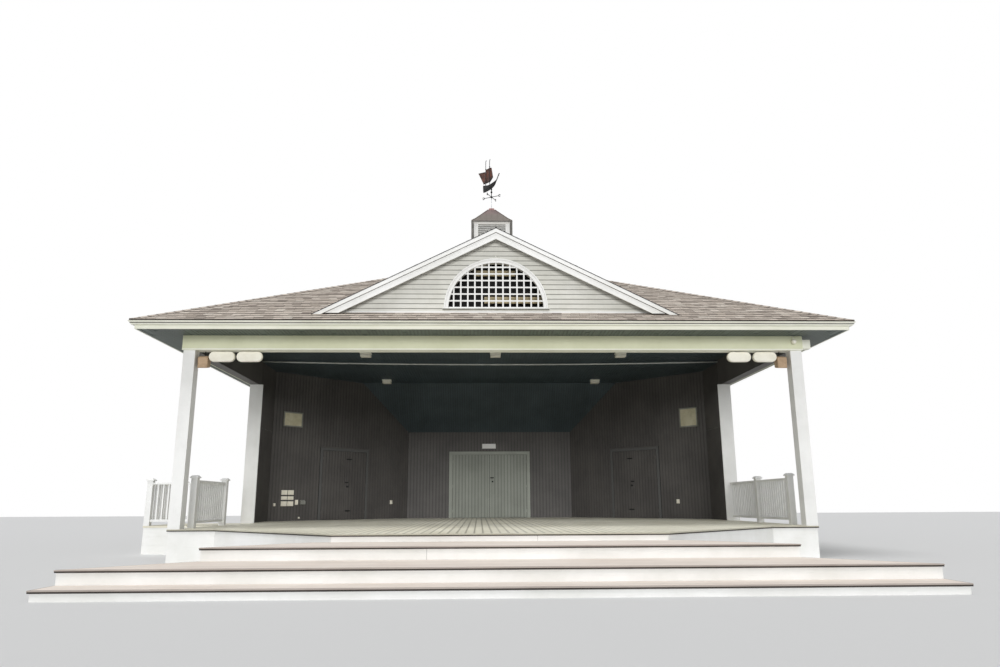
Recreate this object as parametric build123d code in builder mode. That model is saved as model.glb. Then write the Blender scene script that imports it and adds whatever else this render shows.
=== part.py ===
"""Open bandstand: a raised stage with a hipped roof on square posts, splayed
back walls, a front gable with a fan vent, a louvred cupola and a ship vane.

Millimetres, +Z up, +X to the right of someone facing the stage, +Y towards the
back. The origin is on the ground, midway between the two front posts.
"""

import math
import os

from build123d import *

# Ground plan
HALF_WIDTH = 6350       # centre line to the outer faces of posts and side walls
POST = 235              # square box post
BAY = 4490              # front posts to rear posts, centre to centre
BACK_FACE = 9880        # stage face of the rear wall
BACK_HALF = 2700        # half the rear wall seen between the splayed walls
WALL = 115              # timber stud wall
REAR_WALL = 150
APRON_FRONT = -2910     # front edge of the stage boards
APRON_HALF = 2680       # half the straight part of that edge
NOSING = 25             # boards and treads stand this far past their risers

# Heights
FLOOR = 620             # top of the stage boards
BOARDS = 38
BEAM_BOTTOM = FLOOR + 3530
SOFFIT = FLOOR + 3837
CEILING = FLOOR + 4230
FOLD_Y = 8525           # where the flat ceiling turns down to the rear wall
CEILING_BACK = FLOOR + 2786
SHEET = 20              # ceiling and soffit boarding

# Roof, 6 in 12
PITCH = 0.5
EAVE_SIDE = 840         # shingle edge past the side walls
EAVE_FRONT = 680        # shingle edge past the front posts and the rear wall
EAVE_TOP = FLOOR + 4005
ROOF_DROP = 36          # vertical thickness of deck and shingles
FASCIA_IN = 85          # fascia's face behind the shingle edge
FASCIA = 25
GUTTER_TOP = FLOOR + 3980
GUTTER_HIGH = 70
GUTTER_FOOT = 55        # how far the trough stands out at its foot and its lip
GUTTER_LIP = 105
GUTTER_METAL = 4

# Front gable
GABLE_FACE = -217       # outer face of the gable's siding
GABLE_WALL = 90
RAKE_FACE = -397        # outer face of the rake boards
GABLE_APEX = FLOOR + 6090
GABLE_DROP = 80
RAKE_WIDTH = 215        # measured square to the slope
RAKE_CLEAR = 40         # cut ends of the rake boards above the main roof
VENT_BASE = FLOOR + 4390
VENT_OUTER = 1080
VENT_INNER = 985
VENT_PITCH = 146
VENT_BAR = 30

# Cupola and vane
CUPOLA_HALF = 500
CUPOLA_TOP = FLOOR + 8115
CUPOLA_EAVE = 575
EAVE_EDGE = 20
FLARE_HALF = 460        # half width where the flared eave meets the steep roof
FLARE_HIGH = 107
CUPOLA_CAP = FLOOR + 8660
CAP_HALF = 88
CAP_HIGH = 60
LOUVRE_BOTTOM = FLOOR + 7450
LOUVRE_TOP = FLOOR + 8060
CORNER_TRIM = 118
SLATS = 10
SLAT_HIGH = 70          # rise of one slanting slat, lapping the next
CROSS_Z = FLOOR + 9090
ARM = 540               # length of a compass arm, tip to tip
BALL_Z = FLOOR + 9240
HUB_BOTTOM = FLOOR + 9310
SPINDLE_TOP = FLOOR + 9380
HUB_TOP = FLOOR + 9480
VANE_HEADING = -59.5    # degrees from +X at rest, bow towards the front right
ROD = 12
ROD_FIT = 0.5
HUB = 20
MAST = 8                # radius of a mast
BOWSPRIT = 11
KNOB = 18
SAIL = 4                # thickness of a sail and how far it bellies
BELLY = 14

# Doors
DOOR_HIGH = 2022
DOOR_THICK = 45
DOOR_PROUD = 18         # face of the leaves in front of the wall
CASING_PROUD = 20
CENTRE_GAP = 12
EDGE_GAP = 10
SILL_GAP = 10
HEAD_GAP = 8
BARREL = 5              # radius of a hinge barrel
BARREL_OUT = 28         # hinge axis in front of the wall
STOP_WIDE = 35          # stops behind the leaves, fixed to the jambs and the head
STOP_DEEP = 30
STOP_CLEAR = 6
THRESHOLD = 14

# Railings and side landing
RAIL_X = 6200
RAIL_POST = 125
RAIL_POST_HIGH = 1000
RAIL_TOP = 960
RAIL_FRONT_Y = 720
RAIL_MID_Y = 2550
BALUSTER = 32
BALUSTER_PITCH = 120
LANDING_OUT = 7950
LANDING_X = 7880        # centre line of the landing's outer railing

# Steps in front, from the top one down: half width at the back and at the nose,
# back edge, nose, top of tread; the two upper ones have their sides at 45 degrees
STEPS = (
    (2978, 4260, -2885, -4167, FLOOR - 121),
    (4264, 5540, -4142, -5418, FLOOR - 305),
    (5540, 5540, -5393, -5935, FLOOR - 489),
)
TREAD = 28
RISER = 38
JOINT = 5               # open joint between one step's frame and the next

REAR_OUT = BACK_FACE + REAR_WALL
EAVE_X = HALF_WIDTH + EAVE_SIDE
EAVE_Y0 = -POST / 2 - EAVE_FRONT
EAVE_Y1 = REAR_OUT + EAVE_FRONT
RIDGE_Y = (EAVE_Y0 + EAVE_Y1) / 2
HALF_DEPTH = (EAVE_Y1 - EAVE_Y0) / 2
RIDGE_HALF = EAVE_X - HALF_DEPTH
RIDGE_Z = EAVE_TOP + PITCH * HALF_DEPTH
SIDE_IN = HALF_WIDTH - WALL
SPLAY_SUM = BACK_HALF + BACK_FACE
SPLAY_FRONT = SPLAY_SUM - SIDE_IN
SIDE_WALL_FRONT = BAY + POST / 2
STAGE_FRONT = -POST / 2 - NOSING

os.makedirs("parts", exist_ok=True)


def save(builder, name):
    """Label one finished piece and write it as its own file."""
    builder.part.label = name
    export_step(builder.part, f"parts/{name}.step")


def hip_volume(drop):
    """Everything under the roof planes, lowered by drop, above the eaves."""
    base = EAVE_TOP - ROOF_DROP
    with BuildPart() as volume:
        with BuildSketch(Plane.XZ.offset(-EAVE_Y0)):
            with BuildLine():
                Polyline(
                    (-EAVE_X, base),
                    (EAVE_X, base),
                    (EAVE_X, EAVE_TOP - drop + 0.01),
                    (0, EAVE_TOP - drop + PITCH * EAVE_X),
                    (-EAVE_X, EAVE_TOP - drop + 0.01),
                    close=True,
                )
            make_face()
        extrude(amount=-2 * HALF_DEPTH)
        with BuildSketch(Plane.YZ.offset(-EAVE_X)):
            with BuildLine():
                Polyline(
                    (EAVE_Y0, base),
                    (EAVE_Y1, base),
                    (EAVE_Y1, EAVE_TOP - drop + 0.01),
                    (RIDGE_Y, EAVE_TOP - drop + PITCH * HALF_DEPTH),
                    (EAVE_Y0, EAVE_TOP - drop + 0.01),
                    close=True,
                )
            make_face()
        extrude(amount=2 * EAVE_X, mode=Mode.INTERSECT)
    return volume.part


def plan_block(points, bottom, top):
    """An upright block on a plan outline."""
    with BuildPart() as block:
        with BuildSketch(Plane.XY.offset(bottom)):
            with BuildLine():
                Polyline(*points, close=True)
            make_face()
        extrude(amount=top - bottom)
    return block


def mirrored(points):
    """The same outline on the other side of the centre line."""
    return [(-x, y) for x, y in reversed(points)]


ROOF_TOP = hip_volume(0)
ROOF_UNDER = hip_volume(ROOF_DROP)
with BuildPart() as indoors:
    add(ROOF_UNDER)
    with BuildSketch():
        with Locations((0, RIDGE_Y)):
            Rectangle(2 * EAVE_X, 2 * HALF_DEPTH)
    extrude(amount=EAVE_TOP - ROOF_DROP)
INDOORS = indoors.part


# The base wall that carries the stage, and the stage boards

def stage_outline(inset):
    """Half of the stage's outline, right of the centre line, front to back."""
    corner = APRON_FRONT + inset
    half = APRON_HALF - inset * math.tan(math.radians(22.5))
    front = STAGE_FRONT + inset
    return [
        (half, corner),
        (half + front - corner, front),
        (HALF_WIDTH - inset, front),
        (HALF_WIDTH - inset, REAR_OUT - inset),
    ]


def whole_outline(inset):
    half = stage_outline(inset)
    return half + mirrored(half)


BASE_WALL = 200
with BuildPart() as stage_base:
    with BuildSketch():
        with BuildLine():
            Polyline(*whole_outline(NOSING), close=True)
        make_face()
        offset(amount=-BASE_WALL, mode=Mode.SUBTRACT)
        Rectangle(2 * (HALF_WIDTH - NOSING - BASE_WALL), POST)
    extrude(amount=FLOOR - BOARDS)
save(stage_base, "stage_base")

stage_floor = plan_block(whole_outline(0), FLOOR - BOARDS, FLOOR)
save(stage_floor, "stage_floor")


# Broad steps in front, each a boarded frame with its tread

with BuildPart() as step_treads:
    for back_half, nose_half, back, nose, top in STEPS:
        with BuildSketch(Plane.XY.offset(top - TREAD)):
            with BuildLine():
                Polyline(
                    (-nose_half, nose), (nose_half, nose), (back_half, back), (-back_half, back),
                    close=True,
                )
            make_face()
        extrude(amount=TREAD)
save(step_treads, "step_treads")

SPREAD = NOSING * math.sqrt(2)
with BuildPart() as step_frames:
    for back_half, nose_half, back, nose, top in STEPS:
        sideways = SPREAD if nose_half > back_half else NOSING
        with BuildSketch():
            with BuildLine():
                Polyline(
                    (-nose_half + NOSING, nose + NOSING),
                    (nose_half - NOSING, nose + NOSING),
                    (back_half - sideways, back - JOINT),
                    (-back_half + sideways, back - JOINT),
                    close=True,
                )
            make_face()
            offset(amount=-RISER, mode=Mode.SUBTRACT)
        extrude(amount=top - TREAD)
save(step_frames, "step_frames")


# Box posts, beams and outer walls

def box_posts(y, name):
    with BuildPart() as posts:
        with BuildSketch(Plane.XY.offset(FLOOR)):
            with Locations((-HALF_WIDTH + POST / 2, y), (HALF_WIDTH - POST / 2, y)):
                Rectangle(POST, POST)
        extrude(amount=BEAM_BOTTOM - FLOOR)
    save(posts, name)


box_posts(0, "front_posts")
box_posts(BAY, "rear_posts")


def under_roof(block):
    """Trim the top of a wall or beam to the underside of the roof."""
    with BuildPart() as trimmed:
        add(block.part)
        add(INDOORS, mode=Mode.INTERSECT)
    return trimmed


HIGH = RIDGE_Z + 100
HEAD = POST / 2
front_beam = under_roof(
    plan_block(
        [(-HALF_WIDTH, -HEAD), (HALF_WIDTH, -HEAD), (HALF_WIDTH, HEAD), (-HALF_WIDTH, HEAD)],
        BEAM_BOTTOM,
        HIGH,
    )
)
save(front_beam, "front_beam")

SIDE_BEAM = [
    (HALF_WIDTH - POST, HEAD),
    (HALF_WIDTH, HEAD),
    (HALF_WIDTH, SIDE_WALL_FRONT),
    (HALF_WIDTH - POST, SIDE_WALL_FRONT),
]
save(under_roof(plan_block(SIDE_BEAM, BEAM_BOTTOM, HIGH)), "right_side_beam")
save(under_roof(plan_block(mirrored(SIDE_BEAM), BEAM_BOTTOM, HIGH)), "left_side_beam")

SIDE_WALL = [
    (SIDE_IN, SIDE_WALL_FRONT),
    (HALF_WIDTH, SIDE_WALL_FRONT),
    (HALF_WIDTH, REAR_OUT),
    (SIDE_IN, REAR_OUT),
]
save(under_roof(plan_block(SIDE_WALL, FLOOR, HIGH)), "right_side_wall")
save(under_roof(plan_block(mirrored(SIDE_WALL), FLOOR, HIGH)), "left_side_wall")


# Doorways: each has a plane on the stage face of its wall, at floor level and
# on the doorway's centre line, with X along the wall, Y up and Z to the stage

SPLAY_MIDDLE = ((SIDE_IN + BACK_HALF) / 2, (SPLAY_FRONT + BACK_FACE) / 2)
REAR_DOOR = Plane(origin=(0, BACK_FACE, FLOOR), x_dir=(1, 0, 0), z_dir=(0, -1, 0))
LEFT_DOOR = Plane(
    origin=(-SPLAY_MIDDLE[0], SPLAY_MIDDLE[1], FLOOR), x_dir=(1, 1, 0), z_dir=(1, -1, 0)
)
RIGHT_DOOR = Plane(
    origin=(SPLAY_MIDDLE[0], SPLAY_MIDDLE[1], FLOOR), x_dir=(1, -1, 0), z_dir=(-1, -1, 0)
)
REAR_OPENING = 1235     # half the clear width
SIDE_OPENING = 800
HEAD_ROOM = DOOR_HIGH + SILL_GAP + HEAD_GAP
LEAF_THROUGH = 400      # reach of a cut through a wall, each way


def wall_piece(plan, face, x0, x1, y0, y1, roofed=False):
    """The part of an upright wall between two lines along it and two heights."""
    block = plan_block(plan, FLOOR, HIGH if roofed else CEILING)
    if roofed:
        block = under_roof(block)
    with BuildPart() as piece:
        add(block.part)
        with BuildSketch(face):
            with Locations(((x0 + x1) / 2, (y0 + y1) / 2)):
                Rectangle(x1 - x0, y1 - y0)
        extrude(amount=LEAF_THROUGH, both=True, mode=Mode.INTERSECT)
    return piece


ROOM_HIGH = HIGH - FLOOR
REAR_PLAN = [
    (-SIDE_IN, BACK_FACE),
    (SIDE_IN, BACK_FACE),
    (SIDE_IN, REAR_OUT),
    (-SIDE_IN, REAR_OUT),
]
REACH = 2 * HALF_WIDTH
save(
    wall_piece(REAR_PLAN, REAR_DOOR, -REACH, -REAR_OPENING, 0, ROOM_HIGH, True),
    "rear_wall_left",
)
save(
    wall_piece(REAR_PLAN, REAR_DOOR, REAR_OPENING, REACH, 0, ROOM_HIGH, True),
    "rear_wall_right",
)
save(
    wall_piece(
        REAR_PLAN, REAR_DOOR, -REAR_OPENING, REAR_OPENING, HEAD_ROOM, ROOM_HIGH, True
    ),
    "rear_wall_over_door",
)

BEHIND = WALL * math.sqrt(2)
SPLAY_PLAN = [
    (BACK_HALF, BACK_FACE),
    (SIDE_IN, SPLAY_FRONT),
    (SIDE_IN, SPLAY_FRONT + BEHIND),
    (BACK_HALF + BEHIND, BACK_FACE),
]
for side, plan, face in (
    ("left", mirrored(SPLAY_PLAN), LEFT_DOOR),
    ("right", SPLAY_PLAN, RIGHT_DOOR),
):
    towards_back = -1 if side == "right" else 1
    spans = {
        "rear": sorted((towards_back * SIDE_OPENING, towards_back * REACH)),
        "front": sorted((-towards_back * SIDE_OPENING, -towards_back * REACH)),
    }
    for part_name, (x0, x1) in spans.items():
        save(
            wall_piece(plan, face, x0, x1, 0, CEILING - FLOOR),
            f"{side}_splay_{part_name}",
        )
    save(
        wall_piece(plan, face, -SIDE_OPENING, SIDE_OPENING, HEAD_ROOM, CEILING - FLOOR),
        f"{side}_splay_over_door",
    )


# Door casings and hinged leaves

DOORWAYS = (
    ("rear", REAR_DOOR, REAR_OPENING, 100),
    ("left", LEFT_DOOR, SIDE_OPENING, 80),
    ("right", RIGHT_DOOR, SIDE_OPENING, 80),
)

with BuildPart() as door_casings:
    for name, face, half, width in DOORWAYS:
        with BuildSketch(face):
            with Locations((0, (HEAD_ROOM + width) / 2)):
                Rectangle(2 * (half + width), HEAD_ROOM + width)
            with Locations((0, HEAD_ROOM / 2)):
                Rectangle(2 * half, HEAD_ROOM, mode=Mode.SUBTRACT)
        extrude(amount=CASING_PROUD)
save(door_casings, "door_casings")

STOP_FACE = DOOR_PROUD - DOOR_THICK - STOP_CLEAR
with BuildPart() as door_stops:
    for name, face, half, width in DOORWAYS:
        inner_high = HEAD_ROOM - STOP_WIDE - THRESHOLD
        with BuildSketch(face.offset(STOP_FACE)):
            with Locations((0, HEAD_ROOM / 2)):
                Rectangle(2 * half, HEAD_ROOM)
            with Locations((0, THRESHOLD + inner_high / 2)):
                Rectangle(2 * (half - STOP_WIDE), inner_high, mode=Mode.SUBTRACT)
        extrude(amount=-STOP_DEEP)
save(door_stops, "door_stops")

KNUCKLE = 90
KNUCKLES = (220, 1010, 1800)
PLATE = 40              # hinge plate on the leaf, under its knuckle
PLATE_PAST = 4
AXIS_IN = 5             # hinge axis inside the edge of the doorway
STRIP = 56              # cover strip along the meeting edge
STRIP_PROUD = 8


def door_leaf(face, half, side, name):
    """One leaf of a pair, side -1 at the left and 1 at the right of its doorway,
    with three hinge knuckles on its outer edge and half of the cover strip."""
    inner = CENTRE_GAP / 2
    outer = half - EDGE_GAP
    middle = side * (inner + outer) / 2
    with BuildPart() as leaf:
        with BuildSketch(face.offset(DOOR_PROUD)):
            with Locations((middle, SILL_GAP + DOOR_HIGH / 2)):
                Rectangle(outer - inner, DOOR_HIGH)
        extrude(amount=-DOOR_THICK)
        with BuildSketch(face.offset(DOOR_PROUD)):
            with Locations((side * (inner + STRIP / 2), SILL_GAP + DOOR_HIGH / 2)):
                Rectangle(STRIP, DOOR_HIGH)
        extrude(amount=STRIP_PROUD)
        for height in KNUCKLES:
            with BuildSketch(face.offset(DOOR_PROUD)):
                with Locations((side * (outer + PLATE_PAST - PLATE / 2), height)):
                    Rectangle(PLATE, KNUCKLE)
            extrude(amount=BARREL_OUT - DOOR_PROUD)
            axis = side * (half - AXIS_IN)
            low = face.from_local_coords((axis, height - KNUCKLE / 2, BARREL_OUT))
            with BuildSketch(Plane(origin=low, z_dir=(0, 0, 1))):
                Circle(BARREL)
            extrude(amount=KNUCKLE)
    save(leaf, name)


door_leaf(REAR_DOOR, REAR_OPENING, -1, "rear_door_left")
door_leaf(REAR_DOOR, REAR_OPENING, 1, "rear_door_right")
door_leaf(LEFT_DOOR, SIDE_OPENING, -1, "left_door_front")
door_leaf(LEFT_DOOR, SIDE_OPENING, 1, "left_door_rear")
door_leaf(RIGHT_DOOR, SIDE_OPENING, -1, "right_door_rear")
door_leaf(RIGHT_DOOR, SIDE_OPENING, 1, "right_door_front")


# Ceilings and soffits

REST = 60               # how far the ceiling lies over the splayed walls
FLAT_HALF = [
    (HALF_WIDTH - POST, HEAD),
    (HALF_WIDTH - POST, SIDE_WALL_FRONT),
    (SIDE_IN, SIDE_WALL_FRONT),
    (SIDE_IN, SPLAY_FRONT + REST),
    (SPLAY_SUM + REST - FOLD_Y, FOLD_Y),
]
flat_ceiling = plan_block(FLAT_HALF + mirrored(FLAT_HALF), CEILING, CEILING + SHEET)
save(flat_ceiling, "flat_ceiling")

fall = CEILING - CEILING_BACK
run = BACK_FACE - FOLD_Y
steep = math.hypot(fall, run)
BETWEEN_SPLAYS = [
    (SPLAY_SUM - FOLD_Y, FOLD_Y),
    (BACK_HALF, BACK_FACE),
]
with BuildPart() as sloped_ceiling:
    with BuildSketch(Plane.YZ):
        with BuildLine():
            Polyline(
                (FOLD_Y, CEILING),
                (BACK_FACE, CEILING_BACK),
                (BACK_FACE, CEILING_BACK + SHEET * steep / run),
                (FOLD_Y + SHEET * steep / fall, CEILING),
                close=True,
            )
        make_face()
    extrude(amount=HALF_WIDTH, both=True)
    with BuildSketch():
        with BuildLine():
            Polyline(*BETWEEN_SPLAYS, *mirrored(BETWEEN_SPLAYS), close=True)
        make_face()
    extrude(amount=HIGH, mode=Mode.INTERSECT)
save(sloped_ceiling, "sloped_ceiling")

MITRE = 2               # open joint at each eave corner
MITRE_LONG = 3000


def mitre_cuts(half, y0, y1):
    """Thin diagonal slots across the four eave corners."""
    with BuildSketch() as cuts:
        for x in (-half, half):
            for y in (y0, y1):
                towards = 45 if (x < 0) == (y == y0) else -45
                with Locations(Location((x, y, 0), (0, 0, towards))):
                    Rectangle(MITRE_LONG, MITRE)
    return cuts.sketch


def eave_ring(outset_x, y0, y1, inner_x, inner_y0, inner_y1, bottom, top):
    """Four mitred lengths round the eaves, open by a hair at each corner."""
    with BuildPart() as ring:
        with BuildSketch(Plane.XY.offset(bottom)):
            with Locations((0, (y0 + y1) / 2)):
                Rectangle(2 * outset_x, y1 - y0)
            with Locations((0, (inner_y0 + inner_y1) / 2)):
                Rectangle(2 * inner_x, inner_y1 - inner_y0, mode=Mode.SUBTRACT)
            add(mitre_cuts(outset_x, y0, y1), mode=Mode.SUBTRACT)
        extrude(amount=top - bottom)
    return ring


FASCIA_X = EAVE_X - FASCIA_IN
FASCIA_Y0 = EAVE_Y0 + FASCIA_IN
FASCIA_Y1 = EAVE_Y1 - FASCIA_IN
FASCIA_TOP = EAVE_TOP - ROOF_DROP + PITCH * FASCIA_IN
save(
    eave_ring(
        FASCIA_X, FASCIA_Y0, FASCIA_Y1,
        FASCIA_X - FASCIA, FASCIA_Y0 + FASCIA, FASCIA_Y1 - FASCIA,
        SOFFIT - 5, FASCIA_TOP,
    ),
    "fascia_boards",
)
save(
    eave_ring(
        FASCIA_X - FASCIA, FASCIA_Y0 + FASCIA, FASCIA_Y1 - FASCIA,
        HALF_WIDTH, -HEAD, REAR_OUT,
        SOFFIT, SOFFIT + SHEET,
    ),
    "soffit_boards",
)

# Open gutters with a leaning front, mitred like the fascia
LEAN = math.degrees(math.atan((GUTTER_LIP - GUTTER_FOOT) / GUTTER_HIGH))
GUTTER_BOTTOM = GUTTER_TOP - GUTTER_HIGH
with BuildPart() as gutters:
    for raised, mode in ((0, Mode.ADD), (GUTTER_METAL, Mode.SUBTRACT)):
        with BuildSketch(Plane.XY.offset(GUTTER_BOTTOM + raised)):
            with Locations((0, RIDGE_Y)):
                Rectangle(2 * (FASCIA_X + GUTTER_FOOT), FASCIA_Y1 - FASCIA_Y0 + 2 * GUTTER_FOOT)
        extrude(amount=GUTTER_HIGH, taper=-LEAN, mode=mode)
    with BuildSketch(Plane.XY.offset(GUTTER_BOTTOM)):
        with Locations((0, RIDGE_Y)):
            Rectangle(2 * (FASCIA_X + GUTTER_METAL), FASCIA_Y1 - FASCIA_Y0 + 2 * GUTTER_METAL)
    extrude(amount=GUTTER_HIGH)
    with BuildSketch(Plane.XY.offset(GUTTER_BOTTOM)):
        with Locations((0, RIDGE_Y)):
            Rectangle(2 * FASCIA_X, FASCIA_Y1 - FASCIA_Y0)
        add(mitre_cuts(FASCIA_X, FASCIA_Y0, FASCIA_Y1))
    extrude(amount=GUTTER_HIGH, mode=Mode.SUBTRACT)
save(gutters, "gutters")


# Main roof: four slopes mitred at the hips and the ridge

SLOPES = {
    "roof_front": [
        (-EAVE_X, EAVE_Y0), (EAVE_X, EAVE_Y0), (RIDGE_HALF, RIDGE_Y), (-RIDGE_HALF, RIDGE_Y),
    ],
    "roof_back": [
        (EAVE_X, EAVE_Y1), (-EAVE_X, EAVE_Y1), (-RIDGE_HALF, RIDGE_Y), (RIDGE_HALF, RIDGE_Y),
    ],
    "roof_right": [(EAVE_X, EAVE_Y0), (EAVE_X, EAVE_Y1), (RIDGE_HALF, RIDGE_Y)],
    "roof_left": [(-EAVE_X, EAVE_Y1), (-EAVE_X, EAVE_Y0), (-RIDGE_HALF, RIDGE_Y)],
}
for name, plan in SLOPES.items():
    with BuildPart() as slope:
        with BuildSketch():
            with BuildLine():
                Polyline(*plan, close=True)
            make_face()
        extrude(amount=HIGH)
        add(ROOF_TOP, mode=Mode.INTERSECT)
        add(ROOF_UNDER, mode=Mode.SUBTRACT)
    save(slope, name)


# Front gable: roof, wall with its half-round vent, lattice and rake boards

GABLE_REACH = 3720      # half width to the cut ends of the gable roof
GABLE_BACK = 3600


def chevron(apex, drop, half=GABLE_REACH):
    """An inverted V of the given vertical thickness, in X and Z."""
    return [
        (-half, apex - PITCH * half),
        (0, apex),
        (half, apex - PITCH * half),
        (half, apex - drop - PITCH * half),
        (0, apex - drop),
        (-half, apex - drop - PITCH * half),
    ]


def gable_piece(points, front, back, on=ROOF_TOP):
    """Extrude an outline in X and Z from front to back and cut it to stand on
    the main roof, or on the given volume."""
    with BuildPart() as piece:
        with BuildSketch(Plane.XZ.offset(-front)):
            with BuildLine():
                Polyline(*points, close=True)
            make_face()
        extrude(amount=-(back - front))
        add(on, mode=Mode.SUBTRACT)
        with BuildSketch(Plane.XY.offset(FLOOR)):
            with Locations((0, RIDGE_Y)):
                Rectangle(2 * EAVE_X + 400, 2 * HALF_DEPTH + 4000)
        extrude(amount=EAVE_TOP - ROOF_DROP - FLOOR, mode=Mode.SUBTRACT)
    return piece


SLANT = math.sqrt(1 + PITCH**2)
save(gable_piece(chevron(GABLE_APEX, GABLE_DROP), RAKE_FACE, GABLE_BACK), "gable_roof")

UNDER_GABLE = GABLE_APEX - GABLE_DROP
RAKE_DROP = RAKE_WIDTH * SLANT
RAKE = 25
save(
    gable_piece(
        chevron(UNDER_GABLE, RAKE_DROP - GABLE_DROP), RAKE_FACE, RAKE_FACE + RAKE,
        hip_volume(-RAKE_CLEAR),
    ),
    "rake_boards",
)

with BuildPart() as gable_wall:
    add(
        gable_piece(
            [
                (-GABLE_REACH, UNDER_GABLE - PITCH * GABLE_REACH),
                (0, UNDER_GABLE),
                (GABLE_REACH, UNDER_GABLE - PITCH * GABLE_REACH),
                (GABLE_REACH, FLOOR + 3900),
                (-GABLE_REACH, FLOOR + 3900),
            ],
            GABLE_FACE,
            GABLE_FACE + GABLE_WALL,
        ).part
    )
    with BuildSketch(Plane.XZ.offset(-GABLE_FACE + 10)):
        with Locations((0, VENT_BASE)):
            Circle(VENT_INNER)
            with Locations((0, -VENT_INNER)):
                Rectangle(2 * VENT_INNER, 2 * VENT_INNER, mode=Mode.SUBTRACT)
    extrude(amount=-(GABLE_WALL + 20), mode=Mode.SUBTRACT)
save(gable_wall, "gable_wall")

VENT_PROUD = 30
with BuildPart() as vent_lattice:
    with BuildSketch(Plane.XZ.offset(-GABLE_FACE)):
        with Locations((0, VENT_BASE)):
            Circle(VENT_OUTER)
            Circle(VENT_INNER, mode=Mode.SUBTRACT)
            with Locations((0, -VENT_OUTER)):
                Rectangle(2 * VENT_OUTER, 2 * VENT_OUTER, mode=Mode.SUBTRACT)
    extrude(amount=VENT_PROUD)
    with BuildSketch(Plane.XZ.offset(-GABLE_FACE)):
        with Locations((0, VENT_BASE)):
            with GridLocations(VENT_PITCH, 1, 13, 1):
                Rectangle(VENT_BAR, 2 * VENT_INNER)
            for row in range(7):
                with Locations((0, VENT_PITCH * row + VENT_BAR / 2)):
                    Rectangle(2 * VENT_INNER, VENT_BAR)
            Circle(VENT_INNER + 5, mode=Mode.INTERSECT)
            with Locations((0, -VENT_OUTER)):
                Rectangle(2 * VENT_OUTER, 2 * VENT_OUTER, mode=Mode.SUBTRACT)
    extrude(amount=12)
save(vent_lattice, "vent_lattice")


# Cupola on the ridge

CUPOLA_WALL = 30
LOUVRE_WIDE = 2 * (CUPOLA_HALF - CORNER_TRIM)
LOUVRE_MIDDLE = (0, RIDGE_Y, (LOUVRE_BOTTOM + LOUVRE_TOP) / 2)
with BuildPart() as cupola_body:
    with BuildSketch(Plane.XY.offset(RIDGE_Z - PITCH * CUPOLA_HALF - ROOF_DROP)):
        with Locations((0, RIDGE_Y)):
            Rectangle(2 * CUPOLA_HALF, 2 * CUPOLA_HALF)
            offset(amount=-CUPOLA_WALL, mode=Mode.SUBTRACT)
    extrude(amount=CUPOLA_TOP - RIDGE_Z + PITCH * CUPOLA_HALF + ROOF_DROP)
    with Locations(LOUVRE_MIDDLE):
        Box(LOUVRE_WIDE, 4 * CUPOLA_HALF, LOUVRE_TOP - LOUVRE_BOTTOM, mode=Mode.SUBTRACT)
        Box(4 * CUPOLA_HALF, LOUVRE_WIDE, LOUVRE_TOP - LOUVRE_BOTTOM, mode=Mode.SUBTRACT)
    add(ROOF_TOP, mode=Mode.SUBTRACT)
save(cupola_body, "cupola_body")

# One louvre: slanting slats that lap each other, between two stiles
STILE = 24
SLAT = 9
SLAT_PITCH = (LOUVRE_TOP - LOUVRE_BOTTOM - SLAT_HIGH) / (SLATS - 1)
LOUVRE_FACE = RIDGE_Y - CUPOLA_HALF
LOUVRE_BACK = LOUVRE_FACE + CUPOLA_WALL
with BuildPart() as louvre:
    with BuildSketch(Plane.YZ):
        for slat in range(SLATS):
            low = LOUVRE_BOTTOM + slat * SLAT_PITCH
            with BuildLine():
                Polyline(
                    (LOUVRE_FACE, low),
                    (LOUVRE_BACK, low + SLAT_HIGH - SLAT),
                    (LOUVRE_BACK, low + SLAT_HIGH),
                    (LOUVRE_FACE, low + SLAT),
                    close=True,
                )
            make_face()
    extrude(amount=LOUVRE_WIDE / 2, both=True)
    with Locations((0, LOUVRE_FACE + CUPOLA_WALL / 2, LOUVRE_MIDDLE[2])):
        with GridLocations(LOUVRE_WIDE - STILE, 1, 2, 1):
            Box(STILE, CUPOLA_WALL, LOUVRE_TOP - LOUVRE_BOTTOM)
with BuildPart() as cupola_louvres:
    for quarter in range(4):
        add(louvre.part.rotate(Axis((0, RIDGE_Y, 0), (0, 0, 1)), 90 * quarter))
save(cupola_louvres, "cupola_louvres")

STEEP_FOOT = CUPOLA_TOP + EAVE_EDGE + FLARE_HIGH
with BuildPart() as cupola_roof:
    for low, high, low_half, high_half in (
        (CUPOLA_TOP, CUPOLA_TOP + EAVE_EDGE, CUPOLA_EAVE, CUPOLA_EAVE),
        (CUPOLA_TOP + EAVE_EDGE, STEEP_FOOT, CUPOLA_EAVE, FLARE_HALF),
        (STEEP_FOOT, CUPOLA_CAP, FLARE_HALF, CAP_HALF),
        (CUPOLA_CAP, CUPOLA_CAP + CAP_HIGH, CAP_HALF, CAP_HALF),
    ):
        with BuildSketch(Plane.XY.offset(low)):
            with Locations((0, RIDGE_Y)):
                Rectangle(2 * low_half, 2 * low_half)
        inward = math.atan((low_half - high_half) / (high - low))
        extrude(amount=high - low, taper=math.degrees(inward))
save(cupola_roof, "cupola_roof")


# Weathervane: fixed spindle with the compass arms, and the ship that turns

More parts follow.
